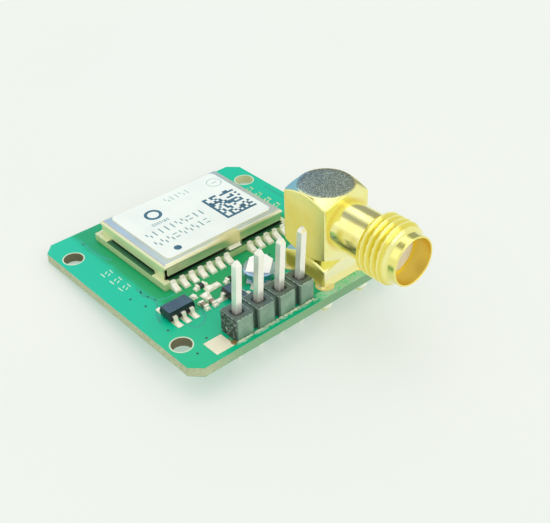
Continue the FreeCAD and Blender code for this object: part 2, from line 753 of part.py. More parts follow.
def wedge(x, y, outward, width, run, rise):
    """A hollow sided fillet of solder that stands on a pad and leans on a part in front of it."""
    line = [(0, 0), (run, 0), (SOLDER_HOLLOW * run, SOLDER_HOLLOW * rise), (0, rise)]
    face = outline_face([point(x - width / 2, y + outward * out, PAD_TOP + up) for out, up in line])
    return face.extrude(point(width, 0, 0))


def lead_pad(x, y, outward):
    middle = y + outward * (LEAD_REACH - LEAD_FOOT / 2)
    return block(x, middle, BOARD_TOP, LEAD_PAD_WIDTH, LEAD_PAD_LENGTH, PAD_THICKNESS)


def lead_joint(x, y, outward):
    run = LEAD_PAD_LENGTH / 2 - LEAD_FOOT / 2
    return wedge(x, y + outward * LEAD_REACH, outward, LEAD_WIDTH, run, LEAD_SHEET)


def regulator_leads():
    x, y = place(REGULATOR_FROM_LEFT, REGULATOR_FROM_FRONT)
    return lead_places(x, y, REGULATOR_DEPTH, (-1, 0, 1), (-1, 1))


def transistor_leads():
    x, y = place(TRANSISTOR_FROM_LEFT, TRANSISTOR_FROM_FRONT)
    return lead_places(x, y, TRANSISTOR_DEPTH, (-1, 1), (0,))


def turned_transistor(shape):
    """The transistor lies across the board, with its two leads to the left."""
    x, y = place(TRANSISTOR_FROM_LEFT, TRANSISTOR_FROM_FRONT)
    return turn_about(shape, x, y, -90)


# Backup cell
def cell_place():
    return place(CELL_FROM_LEFT, CELL_FROM_FRONT)


def cell_pad(side, reach):
    """Pad under the foot of a tab."""
    x, y = cell_place()
    length, width = TAB_FOOT + 2 * TAB_PAD_MARGIN, TAB_STRAP + 2 * TAB_PAD_MARGIN
    pad = block(x + side * (reach - TAB_FOOT / 2), y, BOARD_TOP, length, width, PAD_THICKNESS)
    return turn_about(pad, x, y, CELL_TURN)


def backup_cell():
    """Crimped coin cell that stands with its lid on the lower tab."""
    x, y = cell_place()
    bottom = PAD_TOP + TAB_SHEET
    top = bottom + CELL_HEIGHT
    can, lid = CELL_DIAMETER / 2, CELL_LID_DIAMETER / 2
    rim = bottom + CELL_LID_HEIGHT
    profile = [(0, bottom), (lid, bottom), (lid, rim), (can - CELL_EDGE, rim), (can, rim + CELL_EDGE)]
    profile += [(can, top - CELL_EDGE), (can - CELL_EDGE, top), (0, top)]
    return turned(profile, x, y)


def cell_bottom_tab():
    """Flat strip under the cell with a foot that runs out to the left."""
    x, y = cell_place()
    length = LOWER_TAB_REACH + CELL_LID_DIAMETER / 2
    strip = block(x - LOWER_TAB_REACH + length / 2, y, PAD_TOP, length, TAB_STRAP, TAB_SHEET)
    plate = block(x, y, PAD_TOP, TAB_PLATE, TAB_PLATE, TAB_SHEET)
    return turn_about(strip.fuse(plate).removeSplitter(), x, y, CELL_TURN)


def cell_top_tab():
    """Square plate on the cell with a strap that steps down to its foot on the board."""
    x, y = cell_place()
    low = PAD_TOP + TAB_SHEET + CELL_HEIGHT
    high = low + TAB_SHEET
    half = TAB_PLATE / 2
    near = half + TAB_PLATE_SHOULDER
    side = TAB_STRAP / 2
    plate_line = [(-half, -half), (half, -half), (near, -side), (near, side), (half, half), (-half, half)]
    plate_face = outline_face([point(x + px, y + py, low) for px, py in plate_line])
    plate = plate_face.extrude(point(0, 0, TAB_SHEET))
    far = near + TAB_SHEET
    bend = [(near - TAB_SHEET, low), (near - TAB_SHEET, high), (far, high), (far, PAD_TOP + TAB_SHEET)]
    bend += [(TAB_REACH, PAD_TOP + TAB_SHEET), (TAB_REACH, PAD_TOP), (near, PAD_TOP), (near, low)]
    strap_face = outline_face([point(x + px, y - TAB_STRAP / 2, z) for px, z in bend])
    strap = strap_face.extrude(point(0, TAB_STRAP, 0))
    return turn_about(plate.fuse(strap).removeSplitter(), x, y, CELL_TURN)


# Chips with two metal ends
def chip_body(x, y, turn):
    length, width = CHIP_LENGTH - 2 * CHIP_END_WALL, CHIP_WIDTH - 2 * CHIP_END_WALL
    body = block(x, y, PAD_TOP + CHIP_END_WALL, length, width, CHIP_HEIGHT - 2 * CHIP_END_WALL)
    return turn_about(body, x, y, turn)


def chip_ends(x, y, turn):
    """The two metal caps of a chip."""
    body = chip_body(x, y, turn)
    out = (CHIP_LENGTH - CHIP_END) / 2
    ends = []
    for side in (-1, 1):
        cap = turn_about(block(x + side * out, y, PAD_TOP, CHIP_END, CHIP_WIDTH, CHIP_HEIGHT), x, y, turn)
        ends.append(cap.cut(body))
    return ends


def chip_pads(x, y, turn):
    """The two pads under a chip, which reach out beyond its ends."""
    out = CHIP_LENGTH / 2
    pads = []
    for side in (-1, 1):
        pad = block(x + side * out, y, BOARD_TOP, CHIP_PAD, CHIP_PAD, PAD_THICKNESS)
        pads.append(turn_about(pad, x, y, turn))
    return pads


def chip_joints(x, y, turn):
    """A fillet of solder at each end of a chip."""
    joints = []
    run = CHIP_PAD / 2
    for outward in (-1, 1):
        joint = wedge(x, y + outward * CHIP_LENGTH / 2, outward, CHIP_WIDTH, run, CHIP_WETTING * CHIP_HEIGHT)
        joints.append(turn_about(joint, x, y, turn - 90))
    return joints


def solder_lump(from_left, from_front, width, depth):
    """A low lump of solder with sloping sides, on a pad that carries no part."""
    x, y = place(from_left, from_front)
    lump = block(x, y, PAD_TOP, width, depth, LUMP_HEIGHT)
    top = PAD_TOP + LUMP_HEIGHT
    rims = [edge for edge in lump.Edges if abs(edge.CenterOfMass.z - top) < 1e-6]
    return lump.makeChamfer(LUMP_EDGE, rims)


def on_board(chips):
    return [(*place(from_left, from_front), turn) for from_left, from_front, turn in chips]


def shield_bead(x, y, outward, length):
    """Solder along the foot of the shield's tab."""
    hollow = SOLDER_HOLLOW * SHIELD_BEAD
    line = [(0, 0), (SHIELD_BEAD, 0), (hollow, hollow), (0, SHIELD_BEAD)]
    face = outline_face([point(x - length / 2, y + outward * out, MODULE_TOP + up) for out, up in line])
    return face.extrude(point(length, 0, 0))


def shield_joints():
    """Solder in front of and behind the shield, at its two long tabs."""
    depth = shield_size()[1]
    middle = module_middle()[1]
    x = place(MODULE_FROM_LEFT + SHIELD_TAB_FROM_LEFT, 0)[0]
    return join([shield_bead(x, middle + side * depth / 2, side, SHIELD_BEAD_LENGTH) for side in (-1, 1)])


def surface_pads():
    """Tinned copper on top of the board, under every soldered part."""
    pads = module_pads()
    pads += [lead_pad(*lead) for lead in regulator_leads()]
    pads += [turned_transistor(lead_pad(*lead)) for lead in transistor_leads()]
    pads += [cell_pad(-1, LOWER_TAB_REACH), cell_pad(1, TAB_REACH)]
    for chip in on_board(RESISTORS + CAPACITORS):
        pads += chip_pads(*chip)
    for from_left, from_front, width, depth in BARE_PADS:
        pads.append(block(*place(from_left, from_front), BOARD_TOP, width, depth, PAD_THICKNESS))
    return join(pads)


def component_joints():
    """Solder at the leads, the chip ends and on the pads that carry no part."""
    joints = [lead_joint(*lead) for lead in regulator_leads()]
    joints += [turned_transistor(lead_joint(*lead)) for lead in transistor_leads()]
    for chip in on_board(RESISTORS + CAPACITORS):
        joints += chip_joints(*chip)
    joints += [solder_lump(*pad) for pad in BARE_PADS]
    return join(joints)


def nodes():
    """Every sub-part by its file name."""
    regulator = place(REGULATOR_FROM_LEFT, REGULATOR_FROM_FRONT)
    transistor = place(TRANSISTOR_FROM_LEFT, TRANSISTOR_FROM_FRONT)
    chips = on_board(RESISTORS + CAPACITORS)
    parts = {
        "circuit_board": circuit_board(),
        "surface_pads": surface_pads(),
        "test_pad": test_pad(),
        "module_board": module_board(),
        "module_shield": module_shield(),
        "module_label": module_label(),
        "module_joints": module_joints(),
        "shield_joints": shield_joints(),
        "receiver_chip": inner_part(RECEIVER_CHIP, 0, 0),
        "reference_oscillator": inner_part(REFERENCE_OSCILLATOR, 2, 1),
        "clock_crystal": inner_part(CLOCK_CRYSTAL, 2, -1),
        "input_filter": inner_part(INPUT_FILTER, 3, 1),
        "input_amplifier": inner_part(INPUT_AMPLIFIER, 3, 0),
        "supply_inductor": inner_part(SUPPLY_INDUCTOR, 3, -1),
        "module_passives": module_passives(),
        "header_housing": header_housing(),
        "header_joints": header_joints(),
        "jack_block": jack_block(),
        "jack_barrel": jack_barrel(),
        "jack_insulator": jack_insulator(),
        "jack_contact": jack_contact(),
        "jack_centre_pin": jack_centre_pin(),
        "jack_base_insulator": jack_base_insulator(),
        "jack_back_plug": jack_back_plug(),
        "jack_joints": jack_joints(),
        "regulator_body": moulded_body(*regulator, REGULATOR_DEPTH, REGULATOR_HEIGHT),
        "regulator_leads": formed_leads(regulator_leads(), REGULATOR_HEIGHT),
        "transistor_body": turned_transistor(moulded_body(*transistor, TRANSISTOR_DEPTH, TRANSISTOR_HEIGHT)),
        "transistor_leads": turned_transistor(formed_leads(transistor_leads(), TRANSISTOR_HEIGHT)),
        "backup_cell": backup_cell(),
        "cell_top_tab": cell_top_tab(),
        "cell_bottom_tab": cell_bottom_tab(),
        "resistor_bodies": join([chip_body(*chip) for chip in on_board(RESISTORS)]),
        "capacitor_bodies": join([chip_body(*chip) for chip in on_board(CAPACITORS)]),
        "chip_ends": join([end for chip in chips for end in chip_ends(*chip)]),
        "component_joints": component_joints(),
    }
    for number in range(HEADER_PINS):
        parts[f"header_pin_{number + 1}"] = header_pin(number)
    return parts


os.makedirs("parts", exist_ok=True)
for name, shape in nodes().items():
    shape.exportStep(f"parts/{name}.step")
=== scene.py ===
import logging
import math
from dataclasses import dataclass
from enum import Enum
from functools import cached_property
from typing import Callable, Sequence

import bpy
import numpy as np
from mathutils import Matrix


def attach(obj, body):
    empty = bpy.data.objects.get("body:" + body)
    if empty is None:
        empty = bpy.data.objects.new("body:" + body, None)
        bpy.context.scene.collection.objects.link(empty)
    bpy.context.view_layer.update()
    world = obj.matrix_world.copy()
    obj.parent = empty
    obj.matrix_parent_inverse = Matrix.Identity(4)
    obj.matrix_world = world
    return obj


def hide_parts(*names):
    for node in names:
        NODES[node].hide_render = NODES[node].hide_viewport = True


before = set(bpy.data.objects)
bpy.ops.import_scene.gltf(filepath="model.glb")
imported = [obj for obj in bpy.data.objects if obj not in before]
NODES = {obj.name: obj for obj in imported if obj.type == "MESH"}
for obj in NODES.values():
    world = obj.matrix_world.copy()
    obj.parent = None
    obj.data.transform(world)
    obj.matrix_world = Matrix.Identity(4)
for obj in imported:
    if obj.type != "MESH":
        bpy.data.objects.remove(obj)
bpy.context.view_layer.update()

MM = 0.001
LOG = logging.getLogger("gps_module")

Place = tuple[float, float]
Colour = tuple[float, float, float]
Rings = np.ndarray
Operator = Callable[["Wire", "Wire | float"], "Wire"]


def srgb(red: float, green: float, blue: float) -> Colour:
    """Turns a screen colour of 0 to 255 into the linear colour that a shader takes."""
    parts = np.array([red, green, blue]) / 255.0
    linear = np.where(parts <= 0.04045, parts / 12.92, ((parts + 0.055) / 1.055) ** 2.4)
    return tuple(float(part) for part in linear)


# Shader graphs


def both_ways(operation: str) -> tuple[Operator, Operator]:
    """A Python operator that adds a Math node of that operation, and its reflected form."""
    return (lambda wire, other: wire.calculate(operation, wire, other),
            lambda wire, other: wire.calculate(operation, other, wire))


class Wire:
    """An output socket of a shader graph; Python operators on it add Math nodes."""

    def __init__(self, graph: "Graph", socket: bpy.types.NodeSocket) -> None:
        """Keeps the graph and the socket."""
        self.graph = graph
        self.socket = socket

    def calculate(self, operation: str, *values: "Wire | float") -> "Wire":
        """Adds one Math node over the values and returns its result."""
        return self.graph.wire("ShaderNodeMath", {"operation": operation}, dict(enumerate(values)))

    __add__, __radd__ = both_ways("ADD")
    __sub__, __rsub__ = both_ways("SUBTRACT")
    __mul__, __rmul__ = both_ways("MULTIPLY")
    __truediv__, __rtruediv__ = both_ways("DIVIDE")
    __pow__, __rpow__ = both_ways("POWER")

    def nearest(self) -> "Wire":
        """The nearest whole number."""
        return self.calculate("ROUND", self)

    def size(self) -> "Wire":
        """Value without its sign."""
        return self.calculate("ABSOLUTE", self)

    def least(self, other: "Wire | float") -> "Wire":
        """The smaller of two values."""
        return self.calculate("MINIMUM", self, other)

    def most(self, other: "Wire | float") -> "Wire":
        """The larger of two values."""
        return self.calculate("MAXIMUM", self, other)

    def distance(self, other: "Wire") -> "Wire":
        """Length of the line whose two legs are these values."""
        return (self * self + other * other) ** 0.5

    def rise(self, low: float, high: float) -> "Wire":
        """Goes smoothly from 0 at low to 1 at high."""
        return self.graph.wire("ShaderNodeMapRange", {"interpolation_type": "SMOOTHSTEP"},
                               {0: self, 1: low, 2: high, 3: 0.0, 4: 1.0})

    def fall(self, low: float, high: float) -> "Wire":
        """Goes smoothly from 1 at low to 0 at high."""
        return 1.0 - self.rise(low, high)


class Graph:
    """A node tree that is built up from nothing."""

    def __init__(self, tree: bpy.types.NodeTree) -> None:
        """Empties the tree."""
        self.tree = tree
        tree.nodes.clear()

    def node(self, kind: str, settings: dict | None = None, inputs: dict | None = None) -> bpy.types.Node:
        """Adds a node.

        Args:
            kind: the node's type name.
            settings: attributes, set before the sockets.
            inputs: sockets by name or number, each a number, a colour or a Wire.

        Returns:
            The new node.
        """
        made = self.tree.nodes.new(kind)
        for key, value in (settings or {}).items():
            setattr(made, key, value)
        for key, value in (inputs or {}).items():
            self.feed(made.inputs[key], value)
        return made

    def wire(self, kind: str, settings: dict | None = None, inputs: dict | None = None,
             output: int | str = 0) -> Wire:
        """Adds a node and returns one of its outputs."""
        return Wire(self, self.node(kind, settings, inputs).outputs[output])

    def feed(self, socket: bpy.types.NodeSocket, value: "Wire | float | Colour") -> None:
        """Links a Wire to a socket, or sets the socket to a number or colour."""
        if isinstance(value, Wire):
            self.tree.links.new(value.socket, socket)
        elif isinstance(value, tuple) and len(socket.default_value) == 4:
            socket.default_value = (*value, 1.0)
        else:
            socket.default_value = value


class Surface(Graph):
    """The node tree of one material, with a Principled surface at its end."""

    def __init__(self, name: str) -> None:
        """Makes an empty material of that name."""
        self.material = bpy.data.materials.new(name)
        self.material.use_nodes = True
        super().__init__(self.material.node_tree)
        self.shader = self.node("ShaderNodeBsdfPrincipled")
        self.node("ShaderNodeOutputMaterial", None, {"Surface": Wire(self, self.shader.outputs[0])})

    @cached_property
    def vector(self) -> Wire:
        """Object coordinates in millimetres."""
        source = self.wire("ShaderNodeTexCoord", output="Object")
        return self.wire("ShaderNodeVectorMath", {"operation": "SCALE"}, {0: source, "Scale": 1.0 / MM})

    @cached_property
    def axes(self) -> tuple[Wire, ...]:
        """The x, y and z of the object coordinates in millimetres."""
        parts = self.node("ShaderNodeSeparateXYZ", None, {0: self.vector})
        return tuple(Wire(self, part) for part in parts.outputs)

    def noise(self, scale: float, detail: float = 2.0, roughness: float = 0.5,
              stretch: Colour | None = None) -> Wire:
        """Cloudy noise, about 0 to 1.

        Args:
            scale: features a millimetre.
            detail: how many finer layers it has.
            roughness: how strong the finer layers are.
            stretch: factors for x, y and z that draw the clouds out.

        Returns:
            The noise.
        """
        vector = self.vector
        if stretch:
            vector = self.wire("ShaderNodeVectorMath", {"operation": "MULTIPLY"}, {0: vector, 1: stretch})
        return self.wire("ShaderNodeTexNoise", None,
                         {"Vector": vector, "Scale": scale, "Detail": detail, "Roughness": roughness})

    def facing(self, axis: int) -> Wire:
        """One part of the surface's true normal."""
        normal = self.wire("ShaderNodeNewGeometry", output="True Normal")
        return self.wire("ShaderNodeSeparateXYZ", None, {0: normal}, axis)

    def mix(self, factor: Wire, first: "Wire | Colour", second: "Wire | Colour") -> Wire:
        """Blends two colours, from the first at 0 to the second at 1."""
        return self.wire("ShaderNodeMix", {"data_type": "RGBA"}, {0: factor, 6: first, 7: second}, 2)

    def bump(self, height: Wire, depth_mm: float) -> Wire:
        """A bumped normal for a height of 0 to 1 that stands for that depth."""
        return self.wire("ShaderNodeBump", None,
                         {"Strength": 1.0, "Distance": depth_mm * MM, "Height": height})

    def finish(self, **sockets: "Wire | float | Colour") -> bpy.types.Material:
        """Feeds the Principled surface, its sockets named with underscores, and returns the material."""
        for key, value in sockets.items():
            self.feed(self.shader.inputs[key.replace("_", " ")], value)
        return self.material


# Finishes


@dataclass(frozen=True)
class MetalFinish:
    """Plated or drawn metal with fine lines, smudges and a little grain, and, if given, painted shade on
    left-facing walls: a greener, less metallic tone.
    """

    name: str
    colour: Colour
    dull: Colour
    roughness: float = 0.25
    smudge: float = 0.12
    grain: float = 9.0
    stretch: Colour = (1.0, 1.0, 1.0)
    relief_mm: float = 0.004
    metal: float = 1.0
    wall_painted_shade: Colour | None = None
    wall_painted_shade_dulls: float = 0.6
    sharpest: float = 0.03

    def make(self) -> bpy.types.Material:
        """Builds the material."""
        graph = Surface(self.name)
        cloud = graph.noise(0.45, 3.0, 0.6)
        grain = graph.noise(self.grain, 4.0, 0.65, self.stretch)
        colour, metal = graph.mix(cloud.rise(0.35, 0.75), self.colour, self.dull), self.metal
        # Left-facing walls take the wall tone and less metal: painted shade.
        if self.wall_painted_shade:
            left = graph.facing(0).fall(-0.95, -0.6)
            colour, metal = graph.mix(left, colour, self.wall_painted_shade), metal - left * self.wall_painted_shade_dulls
        rough = self.roughness + (cloud - 0.5) * self.smudge + (grain - 0.5) * self.smudge
        return graph.finish(Base_Color=colour, Metallic=metal, Roughness=rough.most(self.sharpest),
                            Normal=graph.bump(grain, self.relief_mm))


@dataclass(frozen=True)
class PlasticFinish:
    """Moulded plastic, epoxy, ceramic or ink with a fine mottle, and, if given, a darker side tone on faces
    that do not point up: painted shade.
    """

    name: str
    colour: Colour
    shade: Colour
    roughness: float = 0.45
    grain: float = 6.0
    relief_mm: float = 0.004
    coat: float = 0.0
    side: Colour | None = None

    def make(self) -> bpy.types.Material:
        """Builds the material."""
        graph = Surface(self.name)
        grain = graph.noise(self.grain, 3.0, 0.6)
        colour = graph.mix(graph.noise(0.8, 3.0, 0.55).rise(0.3, 0.7), self.colour, self.shade)
        if self.side:
            # Faces that do not point up take the side tone: painted shade.
            colour = graph.mix(graph.facing(2).rise(0.5, 0.9), self.side, colour)
        rough = self.roughness + (grain - 0.5) * 0.12
        return graph.finish(Base_Color=colour, Roughness=rough, Coat_Weight=self.coat,
                            Normal=graph.bump(grain, self.relief_mm))


@dataclass(frozen=True)
class SolderMaskFinish:
    """Green mask on both faces of the board, bare laminate on its edges and in its holes, with painted shade
    in the holes, on the front edge and round the receiver, and painted light in front of the jack.
    """

    name: str = "solder_mask_green"
    mask: Colour = srgb(2, 196, 156)
    mask_front: Colour = srgb(4, 186, 132)
    painted_receiver_shade: Colour = srgb(22, 160, 88)
    painted_hole_shade: Colour = srgb(124, 122, 94)
    lit_hole_wall: Colour = srgb(210, 214, 172)
    painted_light_patch: Colour = srgb(140, 248, 176)
    laminate: Colour = srgb(196, 206, 170)
    laminate_dark: Colour = srgb(164, 172, 134)
    front_edge_painted_shade: Colour = srgb(124, 172, 130)
    ring: Colour = srgb(214, 226, 196)
    flux: Colour = srgb(150, 140, 92)
    residue: Colour = srgb(206, 226, 206)
    top_mm: float = 1.0
    front_mm: float = -3.88
    hole_mm: float = 1.0
    holes: tuple[Place, ...] = ((0.0, 0.0), (0.0, 18.2), (22.4, 18.2))
    field: tuple[Place, Place] = ((11.5, 8.0), (12.5, 8.2))
    header_foot: float = -3.42
    stain: Place = (3.45, -2.6)

    def make(self) -> bpy.types.Material:
        """Builds the material."""
        graph = Surface(self.name)
        x, y, z = graph.axes
        cloud, speck = graph.noise(0.16), graph.noise(5.0, 3.0, 0.6)
        weave = graph.noise(1.0, 3.0, 0.7, (3.0, 3.0, 14.0))
        face = (z.rise(self.top_mm - 0.03, self.top_mm - 0.01) + z.fall(0.01, 0.03)).least(1.0)
        above = z.rise(0.5, 0.6)
        near = None
        for hole_x, hole_y in self.holes:
            away = (x - hole_x).distance(y - hole_y)
            near = away if near is None else near.least(away)
        # The board's front edge is painted darker and greener: painted shade.
        front = x.rise(-1.0, 5.0) * y.fall(self.front_mm, self.front_mm + 0.03) * 0.9
        # Hole walls are painted: dark painted shade in most holes, a lit laminate tone in the back right
        # ones.
        wall_painted_shade = graph.mix(x.rise(16.0, 20.0) * y.rise(10.0, 16.0), self.painted_hole_shade, self.lit_hole_wall)
        edge = graph.mix(weave.rise(0.35, 0.65), self.laminate_dark, self.laminate)
        edge = graph.mix(front, edge, self.front_edge_painted_shade)
        edge = graph.mix(near.fall(self.hole_mm + 0.04, self.hole_mm + 0.08), edge, wall_painted_shade)
        mask = graph.mix((y + cloud * 8.0).rise(-2.0, 14.0), self.mask_front, self.mask)
        # Tones laid over the mask: the band round the receiver is painted shade and the patch before the jack
        # is painted light; the rings, crumbs and stain are the board's own marks.
        for share, tone in (
                (self._receiver_shade_band(graph) * above, self.painted_receiver_shade),
                (near.fall(self.hole_mm + 0.08, self.hole_mm + 0.16), self.ring),
                # A lighter tone on the strip before the jack: painted light.
                (self._before_jack(graph) * above * 0.6, self.painted_light_patch),
                (self._foot_residue(graph) * above * 0.7, self.residue),
                (self._flux_stain(graph) * above * 0.8, self.flux)):
            mask = graph.mix(share, mask, tone)
        relief = graph.bump(speck * 0.4 + weave * (1.0 - face), 0.01)
        rough = 0.62 - face * 0.3 + (speck - 0.5) * 0.1
        return graph.finish(Base_Color=graph.mix(face, edge, mask), Roughness=rough, Normal=relief,
                            Specular_IOR_Level=0.22, Coat_Weight=face * 0.08, Coat_Roughness=0.12)

    def _receiver_shade_band(self, graph: Surface) -> Wire:
        """A darker, greener band of mask round the receiver and behind the header: painted shade of the
        receiver.
        """
        out_x, out_y = ((axis - middle).size() - half for axis, (middle, half) in zip(graph.axes, self.field))
        return (out_x.most(out_y) + (graph.noise(0.5) - 0.5) * 0.8).fall(0.9, 2.0) * 0.85

    def _before_jack(self, graph: Surface) -> Wire:
        """The strip of mask in front of the jack."""
        return graph.axes[0].rise(13.2, 14.4) * graph.axes[1].fall(-3.1, -2.7)

    def _foot_residue(self, graph: Surface) -> Wire:
        """A broken whitish line along the header's front foot and crumbs in front of the jack."""
        x, y, _ = graph.axes
        ragged = graph.noise(1.7, 3.0, 0.7)
        across = (y - self.header_foot + (ragged - 0.5) * 0.3).size().fall(0.06, 0.2)
        line = x.rise(3.4, 3.8) * x.fall(13.6, 14.2) * across * ragged.rise(0.38, 0.6)
        return line.most(self._before_jack(graph) * graph.noise(4.5, 2.0, 0.6).rise(0.34, 0.56))

    def _flux_stain(self, graph: Surface) -> Wire:
        """A brown stain between the test pad and the header."""
        x, y = graph.axes[0] - self.stain[0], graph.axes[1] - self.stain[1]
        away = (x * x + y * y * 0.4) ** 0.5
        return (away + (graph.noise(2.3, 2.0, 0.6) - 0.5) * 0.5).fall(0.15, 0.45)


@dataclass(frozen=True)
class CutLaminateFinish:
    """The receiver's own thin board: dark mask on top, darkened partly as painted shade, painted shade under
    the shield, tinned corners under the shield's feet, and pale edges with painted shade low on them.
    """

    name: str = "receiver_laminate"
    # Dark green mask tone, darkened partly as painted shade.
    mask: Colour = srgb(34, 100, 60)
    inside: Colour = srgb(12, 30, 20)
    plated: Colour = srgb(222, 226, 176)
    edge: Colour = srgb(208, 226, 172)
    edge_dark: Colour = srgb(172, 196, 138)
    top_mm: float = 1.85
    bottom_mm: float = 1.05
    middle: Place = (11.5, 13.37)
    gap: Place = (7.2, 3.9)
    cover: Place = (7.4, 5.5)

    def make(self) -> bpy.types.Material:
        """Builds the material."""
        graph = Surface(self.name)
        x, y, z = graph.axes
        layers = graph.noise(1.0, 3.0, 0.7, (2.0, 2.0, 16.0))
        edge = graph.mix(layers.rise(0.35, 0.65), self.edge_dark, self.edge)
        # The edge darkens towards its foot on the carrier board: painted shade.
        edge = graph.mix(z.fall(self.bottom_mm, self.bottom_mm + 0.5) * 0.5, edge, self.edge_dark)
        out_x, out_y = (x - self.middle[0]).size(), (y - self.middle[1]).size()
        corner = out_x.rise(self.gap[0], self.gap[0] + 0.1) * out_y.rise(self.gap[1], self.gap[1] + 0.1)
        # The board under the shield is painted near black: painted shade.
        under = out_x.fall(self.cover[0], self.cover[0] + 0.15)
        under = under * out_y.fall(self.cover[1], self.cover[1] + 0.15)
        top = graph.mix(under, graph.mix(corner, self.mask, self.plated), self.inside)
        colour = graph.mix(z.rise(self.top_mm - 0.05, self.top_mm - 0.02), edge, top)
        return graph.finish(Base_Color=colour, Roughness=0.5 + (layers - 0.5) * 0.15,
                            Normal=graph.bump(layers, 0.012))


@dataclass(frozen=True)
class BrokenPlasticFinish:
    """Header plastic: smooth moulded faces, painted light on the front faces and painted shade on the rest,
    and a torn, speckled left end where the strip was snapped.
    """

    name: str = "header_moulding"
    # front and front_shade are painted lit tones for the front faces; side is painted shade.
    front: Colour = srgb(136, 166, 142)
    front_shade: Colour = srgb(112, 142, 122)
    side: Colour = srgb(78, 98, 86)
    # Dark tone for the pits and funnels round the pins: painted shade.
    hollow: Colour = srgb(22, 28, 26)
    painted_edge_highlight: Colour = srgb(176, 196, 178)
    torn_light: Colour = srgb(160, 182, 162)
    torn_dark: Colour = srgb(50, 64, 56)
    left_mm: float = 3.86
    top_mm: float = 3.35
    first: Place = (4.87, -2.0)
    pitch_mm: float = 2.54

    def make(self) -> bpy.types.Material:
        """Builds the material."""
        graph = Surface(self.name)
        x, y, z = graph.axes
        cloud, grit = graph.noise(0.7, 3.0, 0.6), graph.noise(3.8, 3.0, 0.75)
        torn = x.fall(self.left_mm + 0.01, self.left_mm + 0.05)
        step = (x - self.first[0]) / self.pitch_mm
        across, deep = (step - step.nearest()).size() * self.pitch_mm, (y - self.first[1]).size()
        upper = z.rise(self.top_mm - 0.5, self.top_mm - 0.3)
        # Pits and round funnels round the pins are painted dark: painted shade.
        pit = across.most(deep).fall(0.45, 0.62) * upper
        funnel = across.distance(deep).fall(0.5, 0.86) * upper
        # Light broken lines along the units' top edges: painted highlight.
        highlit_rim = across.most(deep - 0.17).rise(0.93, 0.98) * z.rise(self.top_mm - 0.08, self.top_mm - 0.04)
        smooth = graph.mix(cloud.rise(0.3, 0.7), self.front_shade, self.front)
        # Darker near the borders between units and low on the housing: painted shade.
        smooth = graph.mix(across.rise(0.7, 1.02).most(z.fall(1.02, 1.5)) * 0.7, smooth, self.side)
        # Faces that do not point to the front take the side tone: painted shade.
        smooth = graph.mix(graph.facing(1).fall(-0.9, -0.6), self.side, smooth)
        smooth = graph.mix(highlit_rim * grit.rise(0.4, 0.6) * 0.9, smooth, self.painted_edge_highlight)
        smooth = graph.mix(pit.most(funnel * 0.9), smooth, self.hollow)
        rough_end = graph.mix(grit.rise(0.5, 0.66), self.torn_dark, self.torn_light)
        return graph.finish(Base_Color=graph.mix(torn, smooth, rough_end), Roughness=0.26 + torn * 0.4,
                            Normal=graph.bump(grit * (0.12 + torn), 0.05))


@dataclass(frozen=True)
class GoldFinish:
    """Bright lemon gold plate, with a painted orange reflection round the barrel's root and a painted pale
    reflection low on the front face, a matt turned top and brushed sides.
    """

    name: str
    colour: Colour = srgb(252, 247, 174)
    deep: Colour = srgb(250, 240, 150)
    # Painted pale reflection tone for the lower front face.
    pale: Colour = srgb(252, 249, 202)
    speckle_light: Colour = srgb(206, 214, 186)
    speckle_dark: Colour = srgb(118, 128, 108)
    # Painted reflection tone round the barrel's root.
    root: Colour = srgb(238, 204, 104)
    top_mm: float = 99.0
    axis_mm: float = 7.19
    front_mm: float = -2.9
    centre: Place = (17.77, -0.025)
    disc_mm: float = 2.8
    root_reflection_mm: Place = (2.45, 2.95)
    foot_mm: Place = (2.6, 5.4)
    roughness: float = 0.16
    brushed: float = 0.0

    def make(self) -> bpy.types.Material:
        """Builds the material."""
        graph = Surface(self.name)
        x, y, z = graph.axes
        cloud, grain = graph.noise(0.5, 3.0, 0.6), graph.noise(7.0, 4.0, 0.65)
        speckle = graph.noise(9.0, 2.0, 0.8)
        beside, behind, over = x - self.centre[0], y - self.centre[1], z - self.axis_mm
        disc = z.rise(self.top_mm - 0.04, self.top_mm - 0.01)
        disc = disc * beside.distance(behind).fall(self.disc_mm - 0.25, self.disc_mm + 0.02)
        # Deeper orange round the barrel's root on the front face: painted reflection of the barrel.
        root = beside.distance(over).fall(*self.root_reflection_mm) * y.fall(self.front_mm + 0.04, self.front_mm + 0.1)
        # Paler low on the front face: painted reflection.
        foot = z.fall(*self.foot_mm) * y.fall(self.front_mm + 0.02, self.front_mm + 0.3)
        plate = graph.mix(cloud.rise(0.3, 0.7), self.colour, self.deep)
        plate = graph.mix(foot, plate, self.pale)
        plate = graph.mix(root * 0.55, plate, self.root)
        matt = graph.mix(speckle.rise(0.4, 0.62), self.speckle_dark, self.speckle_light)
        side = graph.facing(0).size().rise(0.8, 0.98) * self.brushed
        rough = self.roughness + (grain - 0.5) * 0.08 + disc * 0.12 + side
        return graph.finish(Base_Color=graph.mix(disc, plate, matt), Metallic=1.0, Roughness=rough.most(0.05),
                            Normal=graph.bump(grain * 0.06 + speckle * disc * 0.5, 0.05))


